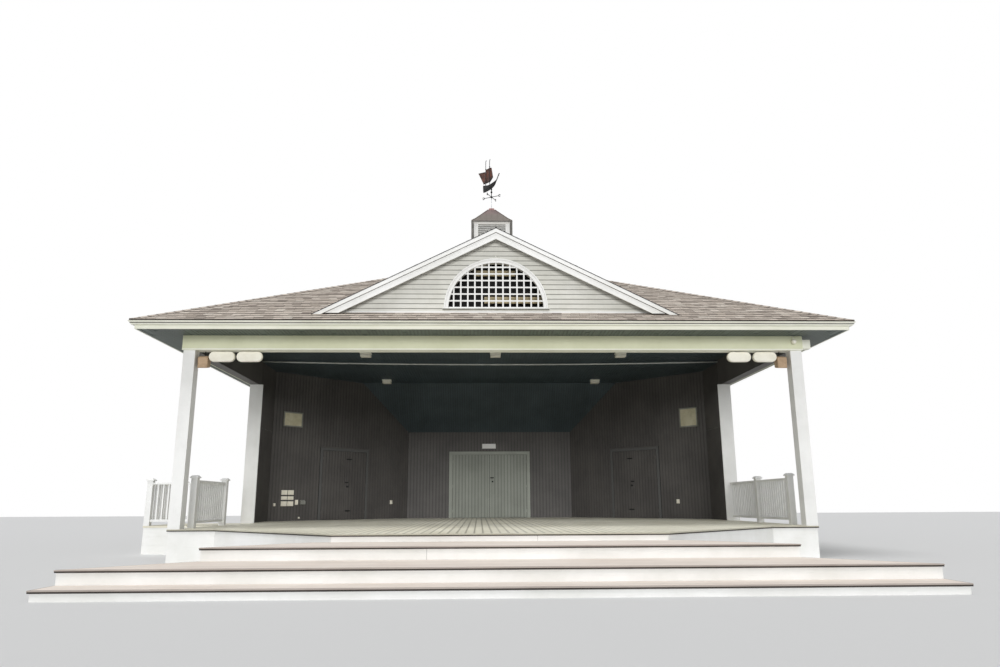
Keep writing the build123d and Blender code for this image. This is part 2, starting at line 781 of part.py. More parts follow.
VANE_AXIS = (0, RIDGE_Y)
with BuildPart() as vane_spindle:
    with BuildSketch(Plane.XY.offset(CUPOLA_CAP + CAP_HIGH)):
        with Locations(VANE_AXIS):
            Circle(ROD)
    extrude(amount=SPINDLE_TOP - CUPOLA_CAP - CAP_HIGH)
    with Locations((0, RIDGE_Y, BALL_Z)):
        Sphere(28)
    with BuildSketch(Plane.XY.offset(CROSS_Z - 6)):
        with Locations(VANE_AXIS):
            Circle(34)
            for turn in (0, 90):
                with Locations(Location((0, 0, 0), (0, 0, VANE_HEADING + 31 + turn))):
                    Rectangle(ARM, 12)
    extrude(amount=12)
save(vane_spindle, "vane_spindle")

# The ship is drawn pointing along +X with heights above the floor, and turned to
# its heading at the end. Its hull is a side outline cut by a plan outline
BOW = (300, 9530)
STERN_LOW = (-450, 9388)
STERN_TOP = (-430, 9614)
TURN_OF_KEEL = (130, 9362)
STEM = 305              # ends of the plan outline, just past the side outline
TRANSOM = -455
TRANSOM_HALF = 18
BEAM_HALF = 30
UNDER_SHIP = 9300       # cutting blocks start here and pass all of the ship
SHIP_CUT = 1100
SHIP_ASIDE = 100
MAIN_SAIL = [(-440, 9652), (-235, 9615), (-250, 10030), (-406, 9986), (-742, 10113)]
FORE_SAIL = [(-265, 9620), (-28, 9580), (90, 9685), (7, 10005), (-270, 10075)]
MAST_FOOT = 9450
MASTS = ((-320, 10370), (-103, 10250))
BOWSPRIT_RUN = (145, 0, 152)
with BuildPart() as hull:
    with BuildSketch(Plane.XZ):
        with BuildLine():
            ThreePointArc(STERN_LOW, (-100, 9343), TURN_OF_KEEL)
            ThreePointArc(TURN_OF_KEEL, (235, 9425), BOW)
            ThreePointArc(BOW, (-20, 9497), STERN_TOP)
            Line(STERN_TOP, STERN_LOW)
        make_face()
    extrude(amount=SHIP_ASIDE, both=True)
    with BuildSketch(Plane.XY.offset(UNDER_SHIP)):
        with BuildLine():
            ThreePointArc((STEM, 0), (-60, BEAM_HALF), (TRANSOM, TRANSOM_HALF))
            Line((TRANSOM, TRANSOM_HALF), (TRANSOM, -TRANSOM_HALF))
            ThreePointArc((TRANSOM, -TRANSOM_HALF), (-60, -BEAM_HALF), (STEM, 0))
        make_face()
    extrude(amount=SHIP_CUT, mode=Mode.INTERSECT)


def sail(outline):
    """A sheet with the given side outline that bellies to one side."""
    x0 = min(x for x, z in outline)
    x1 = max(x for x, z in outline)
    middle = (x0 + x1) / 2
    with BuildPart() as sheet:
        with BuildSketch(Plane.XZ):
            with BuildLine():
                Polyline(*outline, close=True)
            make_face()
        extrude(amount=SHIP_ASIDE, both=True)
        with BuildSketch(Plane.XY.offset(UNDER_SHIP)):
            with BuildLine():
                ThreePointArc((x0, 0), (middle, -BELLY), (x1, 0))
                Line((x1, 0), (x1, SAIL))
                ThreePointArc((x1, SAIL), (middle, SAIL - BELLY), (x0, SAIL))
                Line((x0, SAIL), (x0, 0))
            make_face()
        extrude(amount=SHIP_CUT, mode=Mode.INTERSECT)
    return sheet.part


with BuildPart() as ship:
    add(hull.part)
    add(sail(MAIN_SAIL))
    add(sail(FORE_SAIL))
    for x, top in MASTS:
        with BuildSketch(Plane.XY.offset(MAST_FOOT)):
            with Locations((x, -BELLY / 2)):
                Circle(MAST)
        extrude(amount=top - MAST_FOOT)
    for start, radius, length in (((280, 0, 9509), BOWSPRIT, 210), ((378, 0, 9612), KNOB, 30)):
        with BuildSketch(Plane(origin=start, z_dir=BOWSPRIT_RUN)):
            Circle(radius)
        extrude(amount=length)

with BuildPart() as vane_ship:
    add(ship.part.moved(Location((0, RIDGE_Y, FLOOR), (0, 0, VANE_HEADING))))
    with BuildSketch(Plane.XY.offset(HUB_BOTTOM)):
        with Locations(VANE_AXIS):
            Circle(HUB)
    extrude(amount=HUB_TOP - HUB_BOTTOM)
    with BuildSketch(Plane.XY.offset(HUB_BOTTOM - 1)):
        with Locations(VANE_AXIS):
            Circle(ROD + ROD_FIT)
    extrude(amount=SPINDLE_TOP + 6 - HUB_BOTTOM, mode=Mode.SUBTRACT)
save(vane_ship, "vane_ship")


# Side railings

def rail_post(x, y):
    """A square newel with a flared cap."""
    with BuildPart() as post:
        with BuildSketch(Plane.XY.offset(FLOOR)):
            with Locations((x, y)):
                Rectangle(RAIL_POST, RAIL_POST)
        extrude(amount=RAIL_POST_HIGH)
        with BuildSketch(Plane.XY.offset(FLOOR + RAIL_POST_HIGH)):
            with Locations((x, y)):
                Rectangle(RAIL_POST + 50, RAIL_POST + 50)
        extrude(amount=20)
        with BuildSketch(Plane.XY.offset(FLOOR + RAIL_POST_HIGH + 20)):
            with Locations((x, y)):
                Rectangle(RAIL_POST + 50, RAIL_POST + 50)
        extrude(amount=35, taper=45)
    return post.part


def rail_panel(x0, y0, x1, y1):
    """Top rail, bottom rail and balusters between two newels, along X or Y."""
    along_y = x0 == x1
    length = abs(y1 - y0) if along_y else abs(x1 - x0)
    middle = ((x0 + x1) / 2, (y0 + y1) / 2)
    count = int(length // BALUSTER_PITCH)
    with BuildPart() as panel:
        for bottom, high, wide in ((RAIL_TOP - 40, 40, 90), (90, 50, 50)):
            with BuildSketch(Plane.XY.offset(FLOOR + bottom)):
                with Locations(middle):
                    Rectangle(wide if along_y else length, length if along_y else wide)
            extrude(amount=high)
        with BuildSketch(Plane.XY.offset(FLOOR + 140)):
            with Locations(middle):
                with GridLocations(
                    1 if along_y else BALUSTER_PITCH,
                    BALUSTER_PITCH if along_y else 1,
                    1 if along_y else count,
                    count if along_y else 1,
                ):
                    Rectangle(BALUSTER, BALUSTER)
        extrude(amount=RAIL_TOP - 40 - 140)
    return panel.part


EDGE = RAIL_POST / 2
with BuildPart() as right_railing:
    add(rail_post(RAIL_X, RAIL_FRONT_Y))
    add(rail_post(RAIL_X, RAIL_MID_Y))
    add(rail_panel(RAIL_X, RAIL_FRONT_Y + EDGE, RAIL_X, RAIL_MID_Y - EDGE))
    add(rail_panel(RAIL_X, RAIL_MID_Y + EDGE, RAIL_X, BAY - HEAD))
save(right_railing, "right_railing")

with BuildPart() as left_railing:
    add(rail_post(-RAIL_X, RAIL_FRONT_Y))
    add(rail_post(-RAIL_X, RAIL_MID_Y))
    add(rail_panel(-RAIL_X, RAIL_FRONT_Y + EDGE, -RAIL_X, RAIL_MID_Y - EDGE))
save(left_railing, "left_railing")

# Side landing outside the left opening, its railing and the steps behind it
LANDING_FRONT = RAIL_MID_Y - EDGE
LANDING_BACK = BAY + HEAD
LANDING_PLAN = [
    (-LANDING_OUT, LANDING_FRONT),
    (-HALF_WIDTH - 2, LANDING_FRONT),
    (-HALF_WIDTH - 2, LANDING_BACK),
    (-LANDING_OUT, LANDING_BACK),
]
with BuildPart() as side_landing:
    with BuildSketch(Plane.XY.offset(FLOOR - BOARDS)):
        with BuildLine():
            Polyline(*LANDING_PLAN, close=True)
        make_face()
    extrude(amount=BOARDS)
    with BuildSketch():
        with BuildLine():
            Polyline(*LANDING_PLAN, close=True)
        make_face()
        offset(amount=-RISER, mode=Mode.SUBTRACT)
    extrude(amount=FLOOR - BOARDS)
save(side_landing, "side_landing")

LANDING_RISE = FLOOR / 4
LANDING_GOING = 280
with BuildPart() as side_steps:
    for step in range(1, 4):
        top = FLOOR - step * LANDING_RISE
        front = LANDING_BACK + (step - 1) * LANDING_GOING + 2
        with BuildSketch():
            with Locations(((-LANDING_OUT - HALF_WIDTH) / 2, front + LANDING_GOING / 2 - 1)):
                Rectangle(LANDING_OUT - HALF_WIDTH - 40, LANDING_GOING - 2)
        extrude(amount=top)
save(side_steps, "side_steps")

with BuildPart() as landing_railing:
    add(rail_post(-LANDING_X, RAIL_MID_Y))
    add(rail_post(-LANDING_X, LANDING_BACK - EDGE))
    add(rail_panel(-LANDING_X + EDGE, RAIL_MID_Y, -RAIL_X - EDGE - 3, RAIL_MID_Y))
    add(rail_panel(-LANDING_X, RAIL_MID_Y + EDGE, -LANDING_X, LANDING_BACK - 2 * EDGE))
save(landing_railing, "landing_railing")
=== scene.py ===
# %% [markdown]
# # A timber bandstand
# This lesson dresses a bandstand that was drawn in CAD: a raised stage under a
# hipped roof, a gable with a half-round vent, and a small louvred tower with a
# ship on top. The CAD model is the frame. Everything below is placed from its
# measurements, in metres, with Z up, +X to the right and +Y towards the back.

# %% Load the frame
import math

import bmesh
import bpy
from mathutils import Matrix, Vector


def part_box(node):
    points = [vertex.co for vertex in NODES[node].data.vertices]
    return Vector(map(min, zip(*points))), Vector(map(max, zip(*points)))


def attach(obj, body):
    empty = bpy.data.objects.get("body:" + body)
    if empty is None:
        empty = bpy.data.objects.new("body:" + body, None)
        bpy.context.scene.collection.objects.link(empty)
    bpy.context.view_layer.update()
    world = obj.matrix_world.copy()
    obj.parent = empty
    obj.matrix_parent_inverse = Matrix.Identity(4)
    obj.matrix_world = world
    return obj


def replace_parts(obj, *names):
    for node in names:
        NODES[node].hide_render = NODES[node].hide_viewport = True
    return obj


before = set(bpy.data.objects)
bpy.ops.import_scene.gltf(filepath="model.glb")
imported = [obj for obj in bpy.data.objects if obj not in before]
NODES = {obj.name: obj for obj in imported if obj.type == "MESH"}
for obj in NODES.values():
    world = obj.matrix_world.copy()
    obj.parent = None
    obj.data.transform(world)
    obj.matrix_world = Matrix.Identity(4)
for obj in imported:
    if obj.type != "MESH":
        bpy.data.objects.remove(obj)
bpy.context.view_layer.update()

# %% [markdown]
# ## Camera
# A photograph of a building taken from near the ground looks up at its eaves.
# The camera stands 15 m in front of the posts, 1.1 m above the ground, and is
# tipped up 13 degrees, which is why the posts lean together.

# %% Camera
YAW, PITCH, ROLL = (math.radians(a) for a in (1.632, 12.899, -0.279))
ahead = Vector((math.sin(YAW) * math.cos(PITCH), math.cos(YAW) * math.cos(PITCH), math.sin(PITCH)))
level_right = Vector((math.cos(YAW), -math.sin(YAW), 0))
level_up = level_right.cross(ahead)
right = math.cos(ROLL) * level_right + math.sin(ROLL) * level_up
up = right.cross(ahead)
camera = bpy.data.objects.new("camera", bpy.data.cameras.new("camera"))
camera.data.sensor_width = 36
camera.data.lens = 26.653
turned = Matrix((right, up, -ahead)).transposed().to_4x4()
camera.matrix_world = Matrix.Translation((-0.342, -15.027, 1.087)) @ turned
bpy.context.scene.collection.objects.link(camera)
bpy.context.scene.camera = camera
bpy.context.scene.view_settings.view_transform = "Standard"
print("camera at", camera.location[:], "lens", camera.data.lens, "mm")

# %% [markdown]
# ## Colours and nodes
# Paint colours are written as they look, in sRGB hex, and turned into the
# linear numbers that a shader wants by one function. A second small function
# adds a node with its options and its inputs, in a material or in a geometry
# tree.


# %% Helpers for colours and nodes
def paint(code, alpha=1.0):
    """sRGB hex to linear RGBA."""
    parts = [int(code[i:i + 2], 16) / 255 for i in (0, 2, 4)]
    return [c / 12.92 if c <= 0.04045 else ((c + 0.055) / 1.055) ** 2.4 for c in parts] + [alpha]


def add(tree, kind, inputs=None, stops=(), **options):
    """Add one node. An input takes a plain value, a socket, or a node for its first output."""
    made = tree.nodes.new(kind)
    for name, value in options.items():
        setattr(made, name, value)
    for key, value in (inputs or {}).items():
        if isinstance(value, bpy.types.Node):
            value = value.outputs[0]
        if isinstance(value, bpy.types.NodeSocket):
            tree.links.new(value, made.inputs[key])
        else:
            made.inputs[key].default_value = value
    for count, (place, code) in enumerate(stops):
        elements = made.color_ramp.elements
        element = elements[count] if count < 2 else elements.new(place)
        element.position = place
        element.color = paint(code)
    return made


def new_material(name, roughness, metallic=0.0, **sockets):
    """A material with one Principled shader, its tree and its coordinates."""
    material = bpy.data.materials.new(name)
    material.use_nodes = True
    tree = material.node_tree
    shader = tree.nodes["Principled BSDF"]
    shader.inputs["Roughness"].default_value = roughness
    shader.inputs["Metallic"].default_value = metallic
    for key, value in sockets.items():
        shader.inputs[key.replace("_", " ")].default_value = value
    place = add(tree, "ShaderNodeTexCoord").outputs["Object"]
    return material, tree, shader, place


MM = 0.001

# %% [markdown]
# ## Painted timber
# Most of the bandstand is brushed house paint on sawn boards. Up close the
# paint follows the grain in long shallow ridges, and it is never quite one
# colour: rain, dust and repainting leave broad soft patches. So each paint is
# three layers: a stretched noise for the grain, a wide noise for the weather,
# and a fine bump from the grain. The three colours that follow it are the
# fresh paint, its weathered patches and the dirt in its low places.


# %% A maker for painted boards
def painted_timber(name, fresh, dulled, dirt, along=(1, 1, 1), roughness=0.55, patch=0.9, grit=0.25,
                   bump=0.25, board_to_board=0.08, lap=0.0, groove=0.0, outside=None):
    """Brushed paint on boards; along stretches the grain (small = long). lap is painted shade: how dark a
    board gets just under the next one. groove is painted shade at both long edges, beside the groove between
    boards.
    outside is a second paint beyond a distance from the middle."""
    material, tree, shader, place = new_material(name, roughness)
    grain_place = add(tree, "ShaderNodeMapping", {"Vector": place, "Scale": along}).outputs["Vector"]
    grain = add(tree, "ShaderNodeTexNoise", {
        "Vector": grain_place, "Scale": 1 / (18 * MM), "Detail": 5.0, "Roughness": 0.6}).outputs["Fac"]
    weather = add(tree, "ShaderNodeTexNoise", {
        "Vector": place, "Scale": patch, "Detail": 6.0, "Roughness": 0.62}).outputs["Fac"]
    base = add(tree, "ShaderNodeValToRGB", {"Fac": weather}, stops=[(0.36, dulled), (0.62, fresh)])
    streak = add(tree, "ShaderNodeMapRange", {
        "Value": grain, "From Min": 0.62, "From Max": 0.8, "To Min": 0.0, "To Max": grit}).outputs["Result"]
    coloured = add(tree, "ShaderNodeMix", {0: streak, 6: base, 7: paint(dirt)}, data_type="RGBA").outputs[2]
    if outside:
        limit, other = outside
        aside = add(tree, "ShaderNodeSeparateXYZ", {0: place}).outputs["X"]
        distance = add(tree, "ShaderNodeMath", {0: aside}, operation="ABSOLUTE")
        past = add(tree, "ShaderNodeMath", {0: distance, 1: limit}, operation="GREATER_THAN")
        coloured = add(
            tree, "ShaderNodeMix", {0: past, 6: coloured, 7: paint(other)}, data_type="RGBA").outputs[2]
    shade = add(tree, "ShaderNodeAttribute", attribute_name="shade").outputs["Fac"]
    tone = add(tree, "ShaderNodeMapRange", {"Value": shade, "To Min": 1.0, "To Max": 1.0 - board_to_board})
    up_board = add(tree, "ShaderNodeAttribute", attribute_name="up_board").outputs["Fac"]
    # lap paints shade on each board just under the lap of the next one
    lap_shade_factor = add(tree, "ShaderNodeMapRange", {
        "Value": up_board, "From Min": 0.83, "From Max": 0.88, "To Min": 1.0, "To Max": 1.0 - lap})
    from_middle = add(tree, "ShaderNodeMath", {0: up_board, 1: 0.5}, operation="SUBTRACT")
    sideways = add(tree, "ShaderNodeMath", {0: from_middle}, operation="ABSOLUTE")
    is_board = add(tree, "ShaderNodeMath", {0: up_board, 1: 0.0001}, operation="GREATER_THAN")
    # groove paints shade along both long edges of each board, beside the groove
    groove_shade_ramp = add(tree, "ShaderNodeMapRange", {
        "Value": sideways, "From Min": 0.34, "From Max": 0.42, "To Min": 0.0, "To Max": groove})
    groove_shade_on_boards = add(tree, "ShaderNodeMath", {0: groove_shade_ramp, 1: is_board}, operation="MULTIPLY")
    groove_shade_factor = add(tree, "ShaderNodeMath", {0: 1.0, 1: groove_shade_on_boards}, operation="SUBTRACT")
    shadowed = add(tree, "ShaderNodeMath", {0: tone, 1: lap_shade_factor}, operation="MULTIPLY")
    darkest = add(tree, "ShaderNodeMath", {0: shadowed, 1: groove_shade_factor}, operation="MULTIPLY")
    toned = add(tree, "ShaderNodeMix", {"Factor": 1.0, 6: coloured, 7: darkest}, data_type="RGBA",
                blend_type="MULTIPLY")
    tree.links.new(toned.outputs[2], shader.inputs["Base Color"])
    relief = add(tree, "ShaderNodeBump", {"Height": grain, "Strength": bump, "Distance": 0.6 * MM})
    tree.links.new(relief.outputs["Normal"], shader.inputs["Normal"])
    return material


UPRIGHT = (1, 1, 0.06)
LEVEL = (0.06, 1, 1)
DEEP = (1, 0.06, 1)
white_upright = painted_timber("white_paint_on_posts", "f0f0ee", "e4e4e1", "b9b7ae", UPRIGHT)
white_level = painted_timber("white_paint_on_boards", "f3f3f1", "e6e6e2", "b4b2a8", LEVEL)
cream = painted_timber("cream_paint_on_fascia", "f0f0e2", "e5e6d5", "b5b6a4", LEVEL)
beam_cream = painted_timber("cream_paint_on_beam", "dbddbd", "d0d2b0", "9fa184", LEVEL)
# The clapboards carry painted shade under each lap
siding = painted_timber("white_paint_on_clapboards", "e6e5dd", "d7d6cc", "98968a", LEVEL, patch=1.6,
                        lap=0.66)
# The boards given a groove value carry painted shade along their long edges
charcoal = painted_timber("charcoal_paint_on_boards", "5a5754", "4e4b49", "393735", UPRIGHT, 0.6,
                          groove=0.5)
dark_teal = painted_timber("dark_teal_paint_on_ceiling", "47545a", "3b474c", "2a3337", DEEP, 0.5,
                           groove=0.5)
soffit_teal = painted_timber("grey_teal_paint_on_soffit", "5a6560", "4e5852", "3b443f", DEEP, 0.5,
                             groove=0.55)
grey_green = painted_timber("grey_green_paint_on_doors", "94988e", "878b81", "62655d", UPRIGHT, 0.55,
                            groove=0.5)
casing_paint = painted_timber(
    "grey_green_and_charcoal_paint_on_casings", "9a9e94", "8b8f85", "666961", UPRIGHT, 0.55,
    outside=(1.6, "585857"))
stage_paint = painted_timber(
    "worn_cream_paint_on_stage", "f1eddb", "dfdac5", "a7a28e", DEEP, 0.6, 0.7, 0.6, groove=0.3)
stage_edge = painted_timber("worn_cream_edge_of_stage", "b9b7a6", "a8a594", "7b786b", LEVEL, 0.6)
tread_board = painted_timber("weathered_composite_treads", "f3e8de", "e9dcd1", "bcb0a5", LEVEL, 0.65,
                             0.8, 0.35)
tread_edge = painted_timber("grey_edge_of_treads", "aaa098", "998f87", "756c65", LEVEL, 0.6)
# A dark brown for painted shadow strips under nosings, the rake crown and in the gutter's crease, and for the
# real beads in the riser joints
shadow_and_joint_brown = painted_timber("painted_shadow_and_joint_brown", "352e29", "2c2622", "221d1a", LEVEL, 0.8)
raw_pine = painted_timber("raw_pine_in_the_attic", "c2b593", "ad9f7e", "857a5e", LEVEL, 0.7)
print("painted finishes:", len(bpy.data.materials))

# %% [markdown]
# ## Shingles, copper, iron and enamel
# Mineral-surfaced shingles are felt pressed full of coloured stone grit. Each
# tab is a slightly different blend, so every tab carries a number of its own,
# called shade, and the colour ramp turns it into browns, greys and pinks. The
# grit itself is a fine noise. Copper left outside turns a dull pinkish brown,
# forged iron goes black and dry, and enamel, acrylic and moulded plastic stay
# pale with a soft sheen. One maker covers them all: a clean colour, an aged
# film in broad patches, and a roughness and a slight relief that follow the
# film. Two of them also change with height. Rain washes the foot of the
# copper roof greyer, and the sails darken towards the hull.


# %% Shingle, copper, iron, enamel and small finishes
def shingle_finish():
    """Stone grit on felt: each tab has a blend of its own, with painted shade where the next course laps it.
    """
    material, tree, shader, place = new_material("mineral_shingles", 0.92)
    shade = add(tree, "ShaderNodeAttribute", attribute_name="shade").outputs["Fac"]
    blend = add(tree, "ShaderNodeValToRGB", {"Fac": shade}, stops=[
        (0.0, "a99d92"), (1.0, "f6ebde"), (0.2, "ddd0c3"), (0.4, "c0b3a7"), (0.6, "eaddd0"),
        (0.8, "d0c2b4")])
    grit = add(tree, "ShaderNodeTexNoise", {
        "Vector": place, "Scale": 1 / (9 * MM), "Detail": 3.0, "Roughness": 0.7}).outputs["Fac"]
    speck = add(tree, "ShaderNodeValToRGB", {"Fac": grit}, stops=[(0.35, "bcbcbc"), (0.65, "ffffff")])
    mixed = add(tree, "ShaderNodeMix", {"Factor": 1.0, 6: blend, 7: speck}, data_type="RGBA",
                blend_type="MULTIPLY")
    # Painted shade on the top of each tab, where the next course laps over it
    up_board = add(tree, "ShaderNodeAttribute", attribute_name="up_board").outputs["Fac"]
    painted_lap_shade_on_tabs = add(tree, "ShaderNodeMapRange", {
        "Value": up_board, "From Min": 0.74, "From Max": 0.86, "To Min": 1.0, "To Max": 0.42})
    dulled = add(tree, "ShaderNodeMix", {"Factor": 1.0, 6: mixed.outputs[2], 7: painted_lap_shade_on_tabs}, data_type="RGBA",
               blend_type="MULTIPLY")
    # The cut lower edges of the tabs are dark: the black felt inside, and painted shade under each butt
    normal = add(tree, "ShaderNodeNewGeometry").outputs["Normal"]
    upward = add(tree, "ShaderNodeSeparateXYZ", {0: normal}).outputs["Z"]
    on_top = add(tree, "ShaderNodeMapRange", {"Value": upward, "From Min": 0.5,
                                              "From Max": 0.7}).outputs["Result"]
    cut = add(tree, "ShaderNodeMix", {0: on_top, 6: paint("3b352f"), 7: dulled.outputs[2]}, data_type="RGBA")
    tree.links.new(cut.outputs[2], shader.inputs["Base Color"])
    relief = add(tree, "ShaderNodeBump", {"Height": grit, "Strength": 0.6, "Distance": 1.5 * MM})
    tree.links.new(relief.outputs["Normal"], shader.inputs["Normal"])
    return material


def metal_finish(name, clean, aged, roughness, metallic, scale, low=None, **sockets):
    """Metal or enamel with an aged film in patches. low gives two heights and a colour: below the first
    the metal has that colour, and it turns to its own by the second."""
    material, tree, shader, place = new_material(name, roughness, metallic, **sockets)
    film = add(tree, "ShaderNodeTexNoise", {
        "Vector": place, "Scale": scale, "Detail": 7.0, "Roughness": 0.65}).outputs["Fac"]
    colour = add(tree, "ShaderNodeValToRGB", {"Fac": film}, stops=[(0.4, clean), (0.62, aged)])
    coloured = colour.outputs[0]
    if low:
        foot, top, washed = low
        streak_place = add(tree, "ShaderNodeMapping", {"Vector": place, "Scale": (1, 1, 0.08)})
        streak = add(tree, "ShaderNodeTexNoise", {"Vector": streak_place, "Scale": 1 / (45 * MM),
                                                  "Detail": 3.0})
        height = add(tree, "ShaderNodeSeparateXYZ", {0: place}).outputs["Z"]
        rise = add(tree, "ShaderNodeMapRange", {"Value": height, "From Min": foot, "From Max": top})
        ragged = add(tree, "ShaderNodeMath", {0: streak, 1: 0.7, 2: rise}, operation="MULTIPLY_ADD")
        part = add(tree, "ShaderNodeMapRange", {"Value": ragged, "From Min": 0.30, "From Max": 1.05})
        coloured = add(
            tree, "ShaderNodeMix", {0: part, 6: paint(washed), 7: coloured}, data_type="RGBA").outputs[2]
    tree.links.new(coloured, shader.inputs["Base Color"])
    dull = add(tree, "ShaderNodeMapRange", {
        "Value": film, "To Min": roughness * 0.8, "To Max": min(1.0, roughness * 1.25)})
    tree.links.new(dull.outputs["Result"], shader.inputs["Roughness"])
    relief = add(tree, "ShaderNodeBump", {"Height": film, "Strength": 0.15, "Distance": 1 * MM})
    tree.links.new(relief.outputs["Normal"], shader.inputs["Normal"])
    return material


shingles = shingle_finish()
copper_roof = metal_finish(
    "brown_weathered_copper_sheet", "816e6b", "6a5b59", 0.55, 0.25, 3.0, low=(9.0, 9.26, "6f6861"))
copper_cap = metal_finish("pink_copper_cap", "94706c", "7f5f5c", 0.5, 0.3, 6.0)
copper_sail = metal_finish("dark_copper_sails", "6b3c2b", "3f2a22", 0.55, 0.3, 9.0,
                           low=(10.25, 10.50, "1b1715"))
aged_bronze = metal_finish("dark_bronze_corner_posts", "5c5a55", "46443f", 0.55, 0.3, 5.0)
black_iron = metal_finish("blackened_iron", "1e1e1f", "141415", 0.6, 0.3, 12.0)
gutter_enamel = metal_finish("cream_enamelled_gutter", "f1f1e4", "e7e7d8", 0.35, 0.0, 1.5, Coat_Weight=0.3)
notice_cream = metal_finish("aged_cream_notice_board", "cfc9ae", "bdb697", 0.6, 0.0, 5.0)
grey_paint_and_sill_shade = metal_finish("grey_paint_and_painted_sill_shade", "8f8f88", "7f7f78", 0.6, 0.0, 5.0)
outlet_plastic = metal_finish("cream_outlet_plastic", "f4efdf", "e8e2d0", 0.5, 0.0, 8.0)
lamp_diffuser = metal_finish("ivory_acrylic_lamp_cover", "f3f0e2", "e9e5d5", 0.4, 0.0, 4.0)
tan_flood = metal_finish("tan_cast_floodlight", "b59a7c", "a08568", 0.55, 0.1, 8.0)
conduit_grey = metal_finish("pale_grey_conduit", "c9ccc8", "b8bbb7", 0.5, 0.2, 6.0)
pale_pole = metal_finish("pale_galvanised_pole", "dcdfe2", "c9ccd0", 0.4, 0.2, 9.0)
rubber_seal = metal_finish("black_rubber_seal", "2b2b2a", "222221", 0.8, 0.0, 9.0)
painted_shade_black = metal_finish("painted_shade_black_board", "1a1a19", "101010", 0.9, 0.0, 2.0)
print("all finishes:", len(bpy.data.materials))

# %% [markdown]
# ## Give the CAD nodes their finish
# Nodes whose shape is already right keep it, and only take a finish.

# %% Finishes of the CAD nodes
FINISH = {
    "stage_base": white_level, "stage_floor": stage_paint, "step_treads": tread_board,
    "step_frames": white_level, "front_posts": white_upright, "rear_posts": white_upright,
    "front_beam": cream, "left_side_beam": charcoal, "right_side_beam": charcoal,
    "left_side_wall": siding, "right_side_wall": siding,
    "rear_wall_left": charcoal, "rear_wall_right": charcoal, "rear_wall_over_door": charcoal,
    "door_casings": casing_paint, "door_stops": casing_paint,
    "rear_door_left": grey_green, "rear_door_right": grey_green,
    "flat_ceiling": dark_teal, "sloped_ceiling": dark_teal, "soffit_boards": soffit_teal,
    "fascia_boards": cream, "gutters": gutter_enamel, "rake_boards": white_level,
    "gable_wall": siding, "vent_lattice": white_upright, "cupola_body": white_upright,
    "cupola_louvres": white_level,
    "cupola_roof": copper_roof, "vane_spindle": black_iron, "vane_ship": copper_sail,
    "right_railing": white_upright, "left_railing": white_upright, "landing_railing": white_upright,
    "side_landing": stage_paint, "side_steps": tread_board,
}
for name, cad in NODES.items():
    if "splay" in name or name in ("left_door_front", "left_door_rear", "right_door_front",
                                   "right_door_rear"):
        finish = charcoal
    elif name.startswith("roof_") or name == "gable_roof":
        finish = shingles
    else:
        finish = FINISH[name]
    for material_slot in cad.material_slots:
        material_slot.material = finish
print("finished nodes:", len(NODES))

# %% [markdown]
# ## Boards and shingles laid in courses
# Clapboards, shingles, ceiling boards, deck boards and wall boards are all the
# same thing: rows of flat pieces, cut off where the surface ends. One geometry
# tree lays them. It works flat, with X along a row and Y across the rows. It
# scatters one point for each piece, drops the points that lie outside, puts a
# thin box on each, and then pushes every corner that reaches over the edge
# back onto it, which cuts the pieces to the slope of a hip, a gable or a mitre.


# %% The tree that lays courses
MATH = "ShaderNodeMath"


def new_tree(name, sockets):
    """A geometry tree with these named inputs and a geometry to give back."""
    tree = bpy.data.node_groups.new(name, "GeometryNodeTree")
    tree.is_modifier = True
    tree.interface.new_socket("Geometry", in_out="OUTPUT", socket_type="NodeSocketGeometry")
    for label, kind in sockets:
        tree.interface.new_socket(label, in_out="INPUT", socket_type="NodeSocket" + kind)
    return tree, add(tree, "NodeGroupInput").outputs


